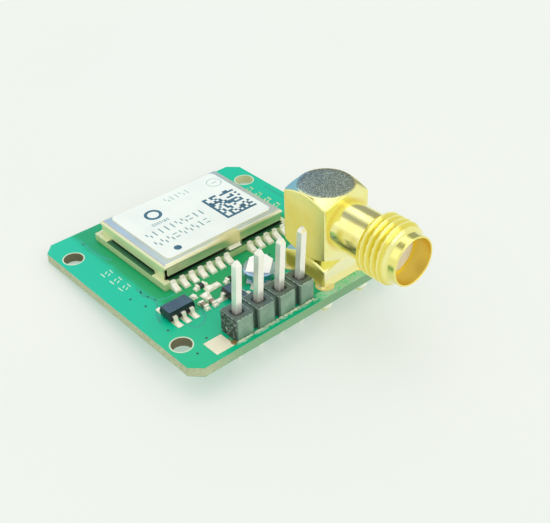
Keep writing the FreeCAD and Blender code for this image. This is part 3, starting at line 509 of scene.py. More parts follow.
@dataclass(frozen=True)
class BarrelFinish:
    """Gold plate on the turned barrel: painted shade in the thread's grooves, a painted deeper tone on the
    nose, and the deepest painted shade in the bore.
    """

    name: str = "gold_plate_barrel"
    colour: Colour = srgb(252, 247, 174)
    cloudy: Colour = srgb(250, 240, 150)
    painted_groove_shade: Colour = srgb(238, 222, 104)
    nose: Colour = srgb(246, 238, 138)
    bore: Colour = srgb(250, 228, 124)
    axis: Place = (17.77, 7.19)
    thread_y: Place = (-9.9, -6.95)
    thread_mm: Place = (2.96, 3.11)
    bore_mm: float = 2.36

    def make(self) -> bpy.types.Material:
        """Builds the material."""
        graph = Surface(self.name)
        x, y, z = graph.axes
        cloud, grain = graph.noise(0.6, 3.0, 0.6), graph.noise(1.6, 4.0, 0.7, (6.0, 1.0, 6.0))
        away = (x - self.axis[0]).distance(z - self.axis[1])
        front, back = self.thread_y
        # Deeper tone on the thread's flanks: painted shade.
        painted_groove_shade = y.rise(front - 0.1, front + 0.1) * y.fall(back, back + 0.1) * away.fall(*self.thread_mm)
        # Deeper tone inside the bore: painted shade.
        bore = away.fall(self.bore_mm, self.bore_mm + 0.04)
        plate = graph.mix(cloud.rise(0.3, 0.7), self.colour, self.cloudy)
        plate = graph.mix(painted_groove_shade, plate, self.painted_groove_shade)
        # A deeper lemon towards the nose: painted reflection.
        plate = graph.mix(y.fall(front - 0.5, front - 0.2) * 0.8, plate, self.nose)
        plate = graph.mix(bore, plate, self.bore)
        rough = 0.17 + (grain - 0.5) * 0.14 + bore * 0.22
        return graph.finish(Base_Color=plate, Metallic=1.0, Roughness=rough.most(0.06),
                            Normal=graph.bump(grain, 0.006))


@dataclass(frozen=True)
class PaperFinish:
    """White label stock with a faint fibre."""

    name: str = "label_paper"
    white: Colour = srgb(238, 244, 238)
    shade: Colour = srgb(231, 238, 233)

    def make(self) -> bpy.types.Material:
        """Builds the material."""
        graph = Surface(self.name)
        fibre = graph.noise(8.0, 4.0, 0.7)
        colour = graph.mix(graph.noise(0.35).rise(0.35, 0.75), self.white, self.shade)
        return graph.finish(Base_Color=colour, Roughness=0.7 + (fibre - 0.5) * 0.1,
                            Normal=graph.bump(fibre, 0.004))


class Finish(Enum):
    """Every finish of the module, by what it covers."""

    MASK = SolderMaskFinish()
    MODULE_LAMINATE = CutLaminateFinish()
    TRACE = PlasticFinish("mask_over_copper", srgb(14, 172, 142), srgb(14, 164, 134), 0.35)
    PRINT_WHITE = PlasticFinish("white_print", srgb(206, 240, 214), srgb(176, 226, 196), 0.55)
    PRINT_WORN = PlasticFinish("worn_cream_print", srgb(206, 222, 160), srgb(140, 200, 140), 0.55)
    FLUX = PlasticFinish("flux_crumbs", srgb(226, 232, 200), srgb(150, 178, 138), 0.35, 5.0, 0.02, 0.4)
    BURNT_FLUX = PlasticFinish("burnt_flux", srgb(112, 84, 40), srgb(168, 138, 72), 0.25, 5.0, 0.02, 0.5)
    PRINT_INK = PlasticFinish("label_ink", srgb(40, 92, 112), srgb(58, 112, 130), 0.6)
    PRINT_STROKE = PlasticFinish("pale_label_ink", srgb(92, 142, 146), srgb(122, 166, 166), 0.6)
    PRINT_FAINT = PlasticFinish("faint_label_ink", srgb(158, 192, 188), srgb(190, 214, 208), 0.6)
    TIN = MetalFinish("tinned_pads", srgb(240, 236, 208), srgb(232, 226, 196), 0.6, 0.2, 5.0, metal=0.05)
    SOLDER = MetalFinish("bright_solder", srgb(252, 250, 236), srgb(242, 238, 220), 0.4, 0.2, 4.0,
                         relief_mm=0.01, metal=0.15)
    # The shield's greener left wall tone is painted shade.
    SHIELD = MetalFinish("shield_tinplate", srgb(234, 230, 196), srgb(224, 220, 184), 0.31, 0.06, 3.0,
                         (0.5, 3.0, 3.0), 0.0006, 0.85, wall_painted_shade=srgb(226, 236, 182))
    GILDED_SOLDER = MetalFinish("gilded_solder", srgb(250, 240, 180), srgb(240, 222, 150), 0.3, 0.1, 3.0,
                                metal=0.6)
    LEAD = MetalFinish("tinned_legs", srgb(250, 247, 230), srgb(238, 233, 212), 0.45, 0.15, 6.0, metal=0.2)
    PIN = MetalFinish("tinned_pin", srgb(254, 253, 244), srgb(250, 248, 236), 0.24, 0.05, 6.0,
                      (6.0, 6.0, 0.6), metal=0.6)
    # The steel's blue tint is a painted blue reflection.
    CELL = MetalFinish("cell_steel", srgb(168, 196, 226), srgb(150, 180, 214), 0.22, 0.12, 6.0, metal=0.9)
    TAB = MetalFinish("tab_steel", srgb(252, 252, 252), srgb(240, 241, 243), 0.5, 0.15, 6.0,
                      (6.0, 1.0, 1.0), metal=0.2)
    PLUG = GoldFinish("gold_plate_plain")
    BLOCK = GoldFinish("gold_plate_block", top_mm=10.4, brushed=0.28)
    BARREL = BarrelFinish()
    HEADER = BrokenPlasticFinish()
    # The epoxy's dark side tone is painted shade under its lighter tops.
    EPOXY = PlasticFinish("epoxy_package", srgb(60, 90, 106), srgb(50, 76, 92), 0.28, 7.0, 0.006,
                          side=srgb(34, 42, 48))
    WHITE_PLASTIC = PlasticFinish("white_resin", srgb(246, 238, 222), srgb(236, 226, 208), 0.5)
    DARK_GLAZE = PlasticFinish("dark_glaze", srgb(52, 58, 62), srgb(38, 44, 48), 0.3)
    TAN_CERAMIC = PlasticFinish("tan_ceramic", srgb(176, 156, 132), srgb(150, 132, 108), 0.5)
    LABEL = PaperFinish()

    def material(self) -> bpy.types.Material:
        """The finish's material, made when it is first asked for."""
        return bpy.data.materials.get(self.value.name) or self.value.make()


def dress(finish: Finish, *nodes: str) -> None:
    """Gives carried over solids their finish."""
    for node in nodes:
        slots = NODES[node].material_slots
        for slot in slots:
            slot.material = finish.material()
        if not slots:
            NODES[node].data.materials.append(finish.material())


# Meshes from rings


def placed(name: str, data: bpy.types.ID) -> bpy.types.Object:
    """A new object in the scene for that mesh, lamp or camera."""
    made = bpy.data.objects.new(name, data)
    bpy.context.scene.collection.objects.link(made)
    return made


def joined(x: np.ndarray, y: np.ndarray, z: np.ndarray) -> Rings:
    """Rings from arrays of x, y and z, each spread to the shape that they share."""
    return np.stack(np.broadcast_arrays(x, y, z), axis=-1)


def ring_faces(rows: int, columns: int, closed: bool, first: int) -> np.ndarray:
    """Quads between neighbouring rings: column c of row r joins c and c + 1 of rows r and r + 1.

    Args:
        rows: number of rings.
        columns: points on each ring.
        closed: the last ring joins the first.
        first: number of the first point.

    Returns:
        Quads as rows of four point numbers.
    """
    row = np.arange(rows if closed else rows - 1)[:, None]
    column = np.arange(columns)[None, :]
    after, beside = (row + 1) % rows, (column + 1) % columns
    pairs = ((row, column), (row, beside), (after, beside), (after, column))
    corners = [low * columns + step for low, step in pairs]
    return first + np.stack(corners, axis=-1).reshape(-1, 4)


def lofted(name: str, lofts: Sequence[Rings], finish: Finish, closed: bool = False,
           smooth_deg: float = 40.0) -> bpy.types.Object:
    """Joins stacks of rings into one mesh piece and closes each stack with a fan at both ends.

    Args:
        name: the piece's name.
        lofts: arrays of (rings, points, 3) in millimetres; a ring's points run anticlockwise seen from the
            end of the stack, so that the faces point outwards.
        finish: the piece's finish.
        closed: each stack's last ring joins its first, and no fans are made.
        smooth_deg: edges flatter than this are shaded smooth.

    Returns:
        The new object, which rides the root body.
    """
    points, quads, fans, first = [], [], [], 0
    for rings in lofts:
        rows, columns = rings.shape[:2]
        points.append(rings.reshape(-1, 3))
        quads.append(ring_faces(rows, columns, closed, first))
        ends = first + rows * columns
        if not closed:
            points.append(np.stack([rings[0].mean(axis=0), rings[-1].mean(axis=0)]))
            step = np.arange(columns)
            beside = (step + 1) % columns
            low, high = first, ends - columns
            fans.append(np.stack([np.full(columns, ends), low + beside, low + step], axis=-1))
            fans.append(np.stack([np.full(columns, ends + 1), high + step, high + beside], axis=-1))
        first = ends if closed else ends + 2
    mesh = bpy.data.meshes.new(name)
    faces = [face for group in quads + fans for face in group.tolist()]
    mesh.from_pydata((np.concatenate(points) * MM).tolist(), [], faces)
    mesh.update()
    mesh.materials.append(finish.material())
    piece = placed(name, mesh)
    mesh.shade_smooth()
    mesh.set_sharp_from_angle(angle=math.radians(smooth_deg))
    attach(piece, "root")
    return piece


def circle(count: int) -> np.ndarray:
    """Angles of that many even steps round a circle, as one row."""
    return np.linspace(0.0, 2.0 * math.pi, count, endpoint=False)[None, :]


def square_reach(angle: np.ndarray, power: float) -> np.ndarray:
    """Radius at an angle of the rounded square |x|^p + |y|^p = 1."""
    return (np.abs(np.cos(angle)) ** power + np.abs(np.sin(angle)) ** power) ** (-1.0 / power)


def turned_rings(profile: np.ndarray, centre: Sequence[float], count: int = 48) -> Rings:
    """Rings about an upright axis: each (radius, height) of the profile becomes a circle of that radius.

    Args:
        profile: array of (radius, height), from the bottom up.
        centre: x and y of the axis.
        count: points on each ring.

    Returns:
        The rings.
    """
    angle, radius = circle(count), profile[:, 0:1]
    return joined(centre[0] + radius * np.cos(angle), centre[1] + radius * np.sin(angle), profile[:, 1:2])


def squircle_rings(levels: np.ndarray, centre: Sequence[float], turn_deg: float = 0.0, power: float = 4.0,
                   wobble: float = 0.0, seed: int = 0) -> Rings:
    """Rings of rounded rectangles: half width a and half depth b, with |x/a|^p + |y/b|^p = 1.

    Args:
        levels: array of (half width, half depth, height), from the bottom up.
        centre: x and y of the middle.
        turn_deg: turn about the upright axis.
        power: the p of the formula; 2 is an ellipse.
        wobble: share by which the outline swells and shrinks in random waves.
        seed: number that sets the waves.

    Returns:
        The rings.
    """
    angle = circle(32)
    start = np.random.default_rng(seed).uniform(0.0, 2.0 * math.pi, 3)
    waves = sum(size * np.sin(count * angle + begin)
                for size, count, begin in zip((1.0, 0.8, 0.5), (2.0, 3.0, 5.0), start))
    reach = square_reach(angle, power) * (1.0 + wobble * waves / 2.3)
    across, deep = levels[:, 0:1] * reach * np.cos(angle), levels[:, 1:2] * reach * np.sin(angle)
    cos, sin = math.cos(math.radians(turn_deg)), math.sin(math.radians(turn_deg))
    return joined(centre[0] + across * cos - deep * sin, centre[1] + across * sin + deep * cos,
                  levels[:, 2:3])


def solder_profile(foot: float, collar: float, end: float, start: float = 0.0) -> np.ndarray:
    """A hollow sided cone's profile: the radius falls from foot to collar as (1 - t)^2.4 while the height
    goes from start to end; the points run from the bottom up.

    Args:
        foot: radius where it starts.
        collar: radius where it ends.
        end: height of the collar.
        start: height of the foot.

    Returns:
        Array of (radius, height).
    """
    share = np.linspace(0.0, 1.0, 14)
    radius = collar + (foot - collar) * (1.0 - share) ** 2.4
    side = np.stack([radius, start + (end - start) * share], axis=-1)
    profile = np.concatenate([side, [(0.01, end)]])
    return profile[::-1] if end < start else profile


def soft_least(first: np.ndarray, second: np.ndarray, blend: float) -> np.ndarray:
    """The smaller of two values, rounded where they cross: -k log(exp(-a/k) + exp(-b/k))."""
    low, high = np.minimum(first, second), np.maximum(first, second)
    return low - blend * np.log1p(np.exp((low - high) / blend))


# Sub-assemblies


@dataclass
class Board:
    """The circuit board with its traces, vias and generic printed marks."""

    top: float = 1.0
    left: float = -1.5
    front: float = -3.9
    trace_width: float = 0.2
    trace_height: float = 0.008
    print_height: float = 0.012
    via_radius: float = 0.12

    def at(self, from_left: float, from_front: float) -> Place:
        """Frame position of a place given from the left and the front edge."""
        return self.left + from_left, self.front + from_front

    def strip(self, places: Sequence[Place], width: float, height: float) -> Rings:
        """A low strip along a line of places: at each place a flat topped ring across the line."""
        path = np.array([self.at(*place) for place in places])
        along = np.gradient(path, axis=0)
        along /= np.linalg.norm(along, axis=1, keepdims=True)
        side, lift = np.array([(-0.5, 0.0), (-0.38, 1.0), (0.38, 1.0), (0.5, 0.0)])[::-1].T
        across = side * width
        return joined(path[:, 0:1] + across * along[:, 1:2], path[:, 1:2] + across * -along[:, 0:1],
                      self.top + lift * height)

    def curve(self, places: Sequence[Place], count: int = 28) -> np.ndarray:
        """Smooth places between the given ones, by a running average of evenly spread points."""
        path = np.array(places)
        reach = np.concatenate([[0.0], np.cumsum(np.linalg.norm(np.diff(path, axis=0), axis=1))])
        even = np.linspace(0.0, reach[-1], count)
        line = np.stack([np.interp(even, reach, path[:, axis]) for axis in range(2)], axis=-1)
        for _ in range(3):
            line[1:-1] = (line[:-2] + line[1:-1] + line[2:]) / 3.0
        return line

    def mark(self, from_left: float, from_front: float) -> list[tuple[Place, ...]]:
        """A made-up mark of four loose strokes round a place."""
        strokes = (((-0.5, -0.35), (-0.5, 0.4)), ((-0.2, 0.05), (0.15, 0.3)), ((-0.15, -0.4), (0.2, -0.2)),
                   ((0.45, -0.3), (0.5, 0.35)))
        return [tuple((from_left + x, from_front + y) for x, y in stroke) for stroke in strokes]

    def build(self) -> None:
        """Makes the traces, vias and marks and dresses the solids."""
        dress(Finish.MASK, "circuit_board")
        dress(Finish.TIN, "surface_pads", "test_pad")
        traces = (
            ((3.6, 13.2), (2.9, 12.4), (3.2, 11.6), (3.84, 11.67), (3.3, 10.1), (2.3, 8.9), (1.9, 7.6)),
            ((3.5, 5.9), (3.95, 4.75), (5.05, 5.1), (5.5, 5.5), (5.9, 6.6), (6.3, 7.4)),
            ((3.2, 13.6), (3.4, 10.9), (4.6, 10.3), (6.0, 10.4)),
            ((9.0, 3.9), (9.0, 3.2)),
            ((10.6, 6.8), (11.2, 5.2), (11.4, 3.3)),
            ((3.7, 24.4), (3.6, 21.0), (4.2, 19.2)),
            ((24.7, 19.5), (24.7, 14.0), (23.6, 12.0)),
            ((15.5, 10.1), (16.0, 8.4), (17.6, 7.4)),
        )
        vias = ((1.79, 6.34), (3.7, 3.1), (1.82, 1.97), (2.36, 10.69), (1.9, 12.55), (16.37, 9.03),
                (22.9, 9.6), (3.6, 23.6), (12.2, 24.6), (21.6, 24.3))
        rings = [self.strip(self.curve(line), self.trace_width, self.trace_height) for line in traces]
        lofted("board_traces", rings, Finish.TRACE)
        profile = np.array([(1.0, 0.0), (0.9, 0.02), (0.62, 0.02), (0.5, 0.006)])
        profile = profile * (self.via_radius, 1.0) + (0.0, self.top)
        rings = [turned_rings(profile, self.at(*via), 20) for via in vias]
        lofted("board_vias", rings, Finish.DARK_GLAZE)
        for name, from_left, rows, width, finish in (
                ("board_marks", 2.6, (14.5, 16.0, 17.6), 0.13, Finish.PRINT_WHITE),
                ("board_worn_marks", 22.9, (15.6, 17.1, 18.6, 20.1), 0.2, Finish.PRINT_WORN)):
            rings = [self.strip(stroke, width, self.print_height)
                     for from_front in rows for stroke in self.mark(from_left, from_front)]
            lofted(name, rings, finish)
        LOG.info("board: %d traces and %d vias", len(traces), len(vias))


@dataclass
class Receiver:
    """The shielded receiver with its label, generic print and soldered contacts."""

    left: float = 3.5
    front: float = 7.27
    width: float = 16.0
    depth: float = 12.2
    low: float = 1.05
    high: float = 1.85
    pitch: float = 1.1
    end: float = 1.0
    bar: float = 0.39
    lap: float = 0.26
    reach: float = 0.9
    ink: Place = (3.486, 3.496)
    stroke: float = 0.14
    cell: float = 0.3
    code_corner: Place = (13.75, 10.15)
    code_size: tuple[int, int] = (15, 13)
    code_share: float = 0.46

    def contacts(self) -> list[tuple[float, float, float]]:
        """Place and outward sign of each contact."""
        near = [self.end + self.pitch * step for step in range(7)]
        far = [self.width - self.end - self.pitch * step for step in range(5)]
        sides = ((self.front, -1.0), (self.front + self.depth, 1.0))
        return [(self.left + offset, y, outward) for offset in near + far for y, outward in sides]

    def solder_bar(self, x: float, y: float, outward: float, seed: int) -> Rings:
        """One tongue of solder from the notch down onto the pad.

        Its section is the upper half of a rounded rectangle w wide and h high on a flat bottom. Over the
        receiver's board h is the board's height, at the board's edge it steps down, and from there it
        falls to the pad's far end in a hollow curve; w is even and rounds off at the two ends.

        Args:
            x: middle of the contact.
            y: edge of the receiver's board.
            outward: -1 for the front row, 1 for the back row.
            seed: number that sets the tongue's small differences.

        Returns:
            The rings, from the notch outwards.
        """
        random = np.random.default_rng(seed)
        share = np.linspace(0.0, 1.0, 34)[:, None]
        along = -self.lap + share * (self.reach + self.lap + random.uniform(-0.06, 0.03))
        ends = np.maximum(1.0 - np.abs(2.0 * share - 1.0) ** 20, 0.02)
        slim = 1.0 - 0.1 * np.clip(along / 0.25, 0.0, 1.0)
        width = self.bar * ends ** 0.3 * slim * random.uniform(0.95, 1.03)
        past = np.clip(along / self.reach, 0.0, 1.0)
        step = np.clip((along - 0.02) / 0.1, 0.0, 1.0)
        slope = 0.2 + 0.62 * (1.0 - past) ** random.uniform(1.0, 1.3)
        height = (self.high - self.low) * (1.06 * (1.0 - step) + slope * step) * ends ** 0.35
        cos, sin = np.cos(circle(24)), np.sin(circle(24))
        across = width * np.sign(cos) * np.abs(cos) ** 0.42
        lift = height * np.maximum(sin, 0.0) ** 0.5
        return joined(x - outward * across, y + outward * along, self.low + lift)

    def patches(self, boxes: Sequence[tuple[float, ...]]) -> list[Rings]:
        """Flat patches of ink on the label, each given as left, front, width and depth."""
        heights = np.array(self.ink)[:, None]
        return [joined(left + width * np.array([0, 1, 1, 0]), front + depth * np.array([0, 0, 1, 1]), heights)
                for left, front, width, depth in boxes]

    def stroke_row(self, left: float, front: float, length: float, size: float, seed: int) -> list[tuple]:
        """Boxes that stand for a row of print: lone uprights, pairs of dashes and stepped pairs of uprights.

        Args:
            left: where the row starts.
            front: its foot.
            length: how far it runs.
            size: height of its uprights.
            seed: number that sets the order of the three.

        Returns:
            Boxes as left, front, width and depth.
        """
        random = np.random.default_rng(seed)
        line, boxes, x = self.stroke, [], left
        shapes = (((0.2, 0.0, line, size),),
                  ((0.0, 0.12, size * 0.48, line), (0.0, 0.75, size * 0.48, line)),
                  ((0.06, 0.5, line, size * 0.5), (0.36, 0.0, line, size * 0.5)))
        while x < left + length:
            boxes += [(x + size * right, front + size * up, wide, deep)
                      for right, up, wide, deep in shapes[random.integers(0, 3)]]
            x += size * 0.76
        return boxes

    def ring_band(self, centre: Place, radius: float, width: float) -> Rings:
        """A flat printed ring, as four circles that close on themselves."""
        low, high = self.ink
        profile = np.array([(radius - width, low), (radius, low), (radius, high), (radius - width, high)])
        return turned_rings(profile, centre, 40)

    def print_label(self) -> None:
        """Prints a dot, a ring, rows of strokes and a square of random cells, and a faint ring."""
        dot = turned_rings(np.array([(0.4, height) for height in self.ink]), (6.9, 9.5), 32)
        filled = np.random.default_rng(5).random(self.code_size) < self.code_share
        filled[0, :] = filled[:, 0] = True
        left, front = self.code_corner
        cells = [(left + self.cell * column, front + self.cell * row, self.cell, self.cell)
                 for row, column in zip(*np.nonzero(filled))]
        lofted("label_code", [dot] + self.patches(cells), Finish.PRINT_INK)
        rows = ((5.7, 12.55, 6.7, 0.95, 3), (5.6, 10.85, 6.7, 1.0, 4), (7.3, 14.1, 2.0, 0.4, 6))
        strokes = [box for row in rows for box in self.stroke_row(*row)]
        lofted("label_print", self.patches(strokes), Finish.PRINT_STROKE)
        faint = self.stroke_row(11.0, 16.9, 3.2, 0.85, 8) + [(16.75, 16.68, 0.7, self.stroke)]
        lofted("label_faint_print", self.patches(faint), Finish.PRINT_FAINT)
        for name, centre, radius, width, finish in (
                ("label_ring", (8.55, 16.0), 0.95, 0.34, Finish.PRINT_INK),
                ("label_faint_ring", (17.1, 16.75), 0.85, 0.1, Finish.PRINT_FAINT)):
            lofted(name, [self.ring_band(centre, radius, width)], finish, closed=True)

    def build(self) -> None:
        """Makes the solder and the print and dresses the solids."""
        dress(Finish.MODULE_LAMINATE, "module_board")
        dress(Finish.SHIELD, "module_shield")
        dress(Finish.LABEL, "module_label")
        dress(Finish.SOLDER, "shield_joints")
        dress(Finish.EPOXY, "receiver_chip", "input_amplifier")
        dress(Finish.CELL, "reference_oscillator", "clock_crystal")
        dress(Finish.TAN_CERAMIC, "input_filter", "supply_inductor", "module_passives")
        bars = [self.solder_bar(*contact, seed) for seed, contact in enumerate(self.contacts())]
        piece = lofted("contact_solder", bars, Finish.SOLDER, smooth_deg=60.0)
        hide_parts("module_joints")
        self.print_label()
        LOG.info("receiver: %d soldered contacts", len(bars))


@dataclass
class AerialJack:
    """The right angle coaxial jack: turned square block, threaded barrel and solder."""

    x: float = 17.77
    face: float = -2.9
    side: float = 5.75
    low: float = 1.0
    axis: float = 7.19
    top: float = 10.4
    disc: float = 2.8
    slope_deg: float = 30.0
    waist: float = 3.52
    waist_half: float = 0.06
    waist_radius: float = 2.91
    edge_power: float = 24.0
    edge_blend: float = 0.06
    plug: float = 2.3
    plug_proud: float = 0.05
    leg: float = 0.95
    leg_end: float = -1.9
    leg_point: float = 0.35
    thread_start: float = 4.05
    thread_end: float = 6.9
    thread_radius: float = 3.125
    thread_depth: float = 0.4
    pitch: float = 25.4 / 36.0
    neck: float = 2.44
    nose: float = 2.475
    nose_start: float = 7.39
    nose_edge: float = 0.06
    length: float = 8.39
    sunk: float = -0.4
    mouth: float = 2.3
    floor: float = 6.39
    bore: float = 2.06
    leg_solder: Colour = (1.2, 0.74, -1.25)
    pin_solder: Colour = (1.1, 0.7, -0.9)
    bead_foot: float = 0.95
    bead_collar: float = 0.45
    bead_height: float = 0.34

    @property
    def middle(self) -> float:
        """Y of the middle of the block."""
        return self.face + self.side / 2.0

    @property
    def leg_places(self) -> list[Place]:
        """Middles of the four legs."""
        out = (self.side - self.leg) / 2.0
        return [(self.x + a * out, self.middle + b * out) for a in (-1, 1) for b in (-1, 1)]

    def block_rings(self) -> Rings:
        """The block, as a bar that was turned on a lathe.

        At each step of the lathe's profile and each angle, the radius is the soft least of the square bar's
        radius, half side / (|cos|^p + |sin|^p)^(1/p), and the lathe's radius; the angles are drawn together
        towards the four corners.

        Returns:
            The rings from the board up.
        """
        slope = math.tan(math.radians(self.slope_deg))
        out = self.side * 0.74
        flare = (out - self.waist_radius) * slope
        corner = self.top - (out - self.disc) * slope
        under, over = self.waist - self.waist_half, self.waist + self.waist_half
        key = np.array([(0.02, self.low), (out, self.low), (out, under - flare), (self.waist_radius, under),
                        (self.waist_radius, over), (out, over + flare), (out, corner), (self.disc, self.top),
                        (0.02, self.top)])
        counts = (3, 10, 30, 5, 30, 34, 46, 5)
        parts = [np.linspace(key[n], key[n + 1], count, endpoint=False) for n, count in enumerate(counts)]
        profile = np.concatenate(parts + [key[-1:]])
        angle = circle(320) + 0.18 * np.sin(4.0 * circle(320))
        bar = self.side / 2.0 * square_reach(angle, self.edge_power)
        radius = np.maximum(soft_least(bar, profile[:, 0:1], self.edge_blend), 0.01)
        return joined(self.x + radius * np.cos(angle), self.middle + radius * np.sin(angle), profile[:, 1:2])

    def leg_rings(self) -> list[Rings]:
        """Four square legs with blunt points."""
        half, tip = self.leg / 2.0, self.leg / 2.0 - 0.2
        levels = np.array([(tip, tip, self.leg_end), (half, half, self.leg_end + self.leg_point),
                           (half, half, self.low - 0.02)])
        return [squircle_rings(levels, place, power=14.0) for place in self.leg_places]

    def barrel_rings(self) -> Rings:
        """The barrel, closed inside and out: radius(s, angle) = least of the turned blank and a screw.

        The screw is root + depth * trapezoid(phase), with phase = s / pitch - angle / full turn, so its
        crests climb one pitch a turn, right handed.

        Returns:
            Rings along the barrel, out over the outside and back through the bore.
        """
        fine = np.arange(self.thread_start - 0.1, self.nose_start - 0.2, self.pitch / 20.0)
        outside = np.concatenate([[self.sunk, 0.0, 0.3, 1.0, 2.0, 3.0, 3.9], fine,
                                  np.linspace(self.nose_start - 0.15, self.length - 0.07, 10),
                                  [self.length - 0.03, self.length]])
        crest, nose = self.thread_radius, self.nose
        blank_s, blank_r = zip((-1.0, self.neck), (self.thread_start - 0.06, self.neck),
                               (self.thread_start, crest), (self.thread_end - 0.15, crest),
                               (self.nose_start, nose), (self.length - self.nose_edge, nose),
                               (self.length, nose - self.nose_edge))
        blank, s = np.interp(outside, blank_s, blank_r)[:, None], outside[:, None]
        angle = circle(176)
        wave = np.abs(((s / self.pitch - angle / (2.0 * math.pi)) % 1.0) * 2.0 - 1.0)
        ridge = np.clip((wave - 0.04) / 0.92, 0.0, 1.0)
        screw = self.thread_radius - self.thread_depth + self.thread_depth * ridge
        threaded = (s > self.thread_start) & (s < self.nose_start)
        radius = np.where(threaded, soft_least(blank, screw, 0.012), blank)
        inside_s, inside_r = zip((self.length, self.mouth + self.nose_edge), (self.length - 0.05, self.mouth),
                                 (self.floor + 0.4, self.mouth), (self.floor, self.mouth),
                                 (self.floor, self.bore), (3.0, self.bore), (self.sunk, self.bore))
        s = np.concatenate([s, np.array(inside_s)[:, None]])
        radius = np.concatenate([radius, np.array(inside_r)[:, None] * np.ones_like(angle)])
        return joined(self.x + radius * np.cos(angle), self.face - s, self.axis + radius * np.sin(angle))

    def plug_rings(self) -> Rings:
        """The plug in the block's back face: a cap a little proud of it, dished in its middle."""
        proud = self.plug_proud
        cap = np.array([(self.plug, -0.6), (self.plug, proud - 0.03), (self.plug - 0.04, proud), (0.6, proud),
                        (0.5, proud - 0.02), (0.02, proud - 0.03)])
        angle, radius = circle(64), cap[:, 0:1]
        return joined(self.x - radius * np.cos(angle), self.face + self.side + cap[:, 1:2],
                      self.axis + radius * np.sin(angle))

    def build(self) -> None:
        """Makes the block, barrel and solder and dresses the solids."""
        dress(Finish.PLUG, "jack_contact", "jack_centre_pin")
        dress(Finish.WHITE_PLASTIC, "jack_insulator", "jack_base_insulator")
        block = lofted("aerial_block", [self.block_rings()] + self.leg_rings(), Finish.BLOCK,
                       smooth_deg=50.0)
        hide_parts("jack_block")
        barrel = lofted("aerial_barrel", [self.barrel_rings()], Finish.BARREL, closed=True,
                        smooth_deg=50.0)
        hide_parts("jack_barrel")
        plug = lofted("aerial_back_plug", [self.plug_rings()], Finish.PLUG, smooth_deg=30.0)
        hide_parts("jack_back_plug")
        cones = [turned_rings(solder_profile(*self.leg_solder), place) for place in self.leg_places]
        cones.append(turned_rings(solder_profile(*self.pin_solder), (self.x, self.middle)))
        piece = lofted("jack_solder", cones, Finish.SOLDER, smooth_deg=60.0)
        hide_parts("jack_joints")
        bead = solder_profile(self.bead_foot, self.bead_collar, self.low + self.bead_height, self.low + 0.02)
        beads = [turned_rings(bead, place) for place in self.leg_places]
        lofted("jack_foot_beads", beads, Finish.GILDED_SOLDER, smooth_deg=60.0)
        LOG.info("aerial jack: block, barrel and %d solder joints", len(cones))


@dataclass
class PinHeader:
    """The four way header with its solder on the underside and flux at its foot."""

    first_x: float = 4.87
    y: float = -2.0
    pitch: float = 2.54
    pins: int = 4
    solder: Colour = (0.95, 0.42, -0.95)
    foot: Colour = (3.8, 13.3, -3.2)
    stain: Place = (3.62, -3.0)

    def build(self) -> None:
        """Makes the solder and flux and dresses the solids."""
        dress(Finish.HEADER, "header_housing")
        dress(Finish.PIN, *(f"header_pin_{number + 1}" for number in range(self.pins)))
        places = [(self.first_x + self.pitch * number, self.y) for number in range(self.pins)]
        cones = [turned_rings(solder_profile(*self.solder), place) for place in places]
        piece = lofted("header_solder", cones, Finish.SOLDER, smooth_deg=60.0)
        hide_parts("header_joints")
        lofted("header_flux", [self.flux_line()], Finish.FLUX, smooth_deg=70.0)
        levels = np.array([(0.34, 0.3, 1.04), (0.3, 0.26, 1.09), (0.16, 0.14, 1.12)])
        stain = squircle_rings(levels, self.stain, 20.0, 2.4, 0.25, 3)
        lofted("pad_burnt_flux", [stain], Finish.BURNT_FLUX, smooth_deg=70.0)
        LOG.info("header: %d pins", self.pins)

    def flux_line(self) -> Rings:
        """The crumbly line of flux along the header's front foot.

        Each ring crosses the line; its width and height wander as sums of sines with random starts, and
        the line runs thin between the header's units.

        Returns:
            The rings from left to right.
        """
        left, right, front = self.foot
        x = np.linspace(left, right, 150)[:, None]
        start = np.random.default_rng(21).uniform(0.0, 2.0 * math.pi, 8)
        wander = sum(np.sin(x * (2.1 + 1.7 * n) + start[n]) for n in range(8)) / 4.0
        body = np.abs(np.cos(math.pi * (x - self.first_x) / self.pitch)) ** 0.5
        size = np.clip(0.5 + 0.5 * wander, 0.12, 1.0) * (0.35 + 0.65 * body)
        ends = np.clip(np.minimum(x - left, right - x) / 0.3, 0.03, 1.0)
        wide, high = (0.08 + 0.2 * size) * ends, (0.03 + 0.17 * size) * ends
        across, lift = np.array([(1.0, 0.0), (0.3, 0.0), (-0.3, 0.0), (-1.0, 0.0), (-0.7, 0.6), (0.0, 1.0),
                                 (0.7, 0.6)]).T
        return joined(x, front + 0.02 + across * wide, 0.99 + lift * high)


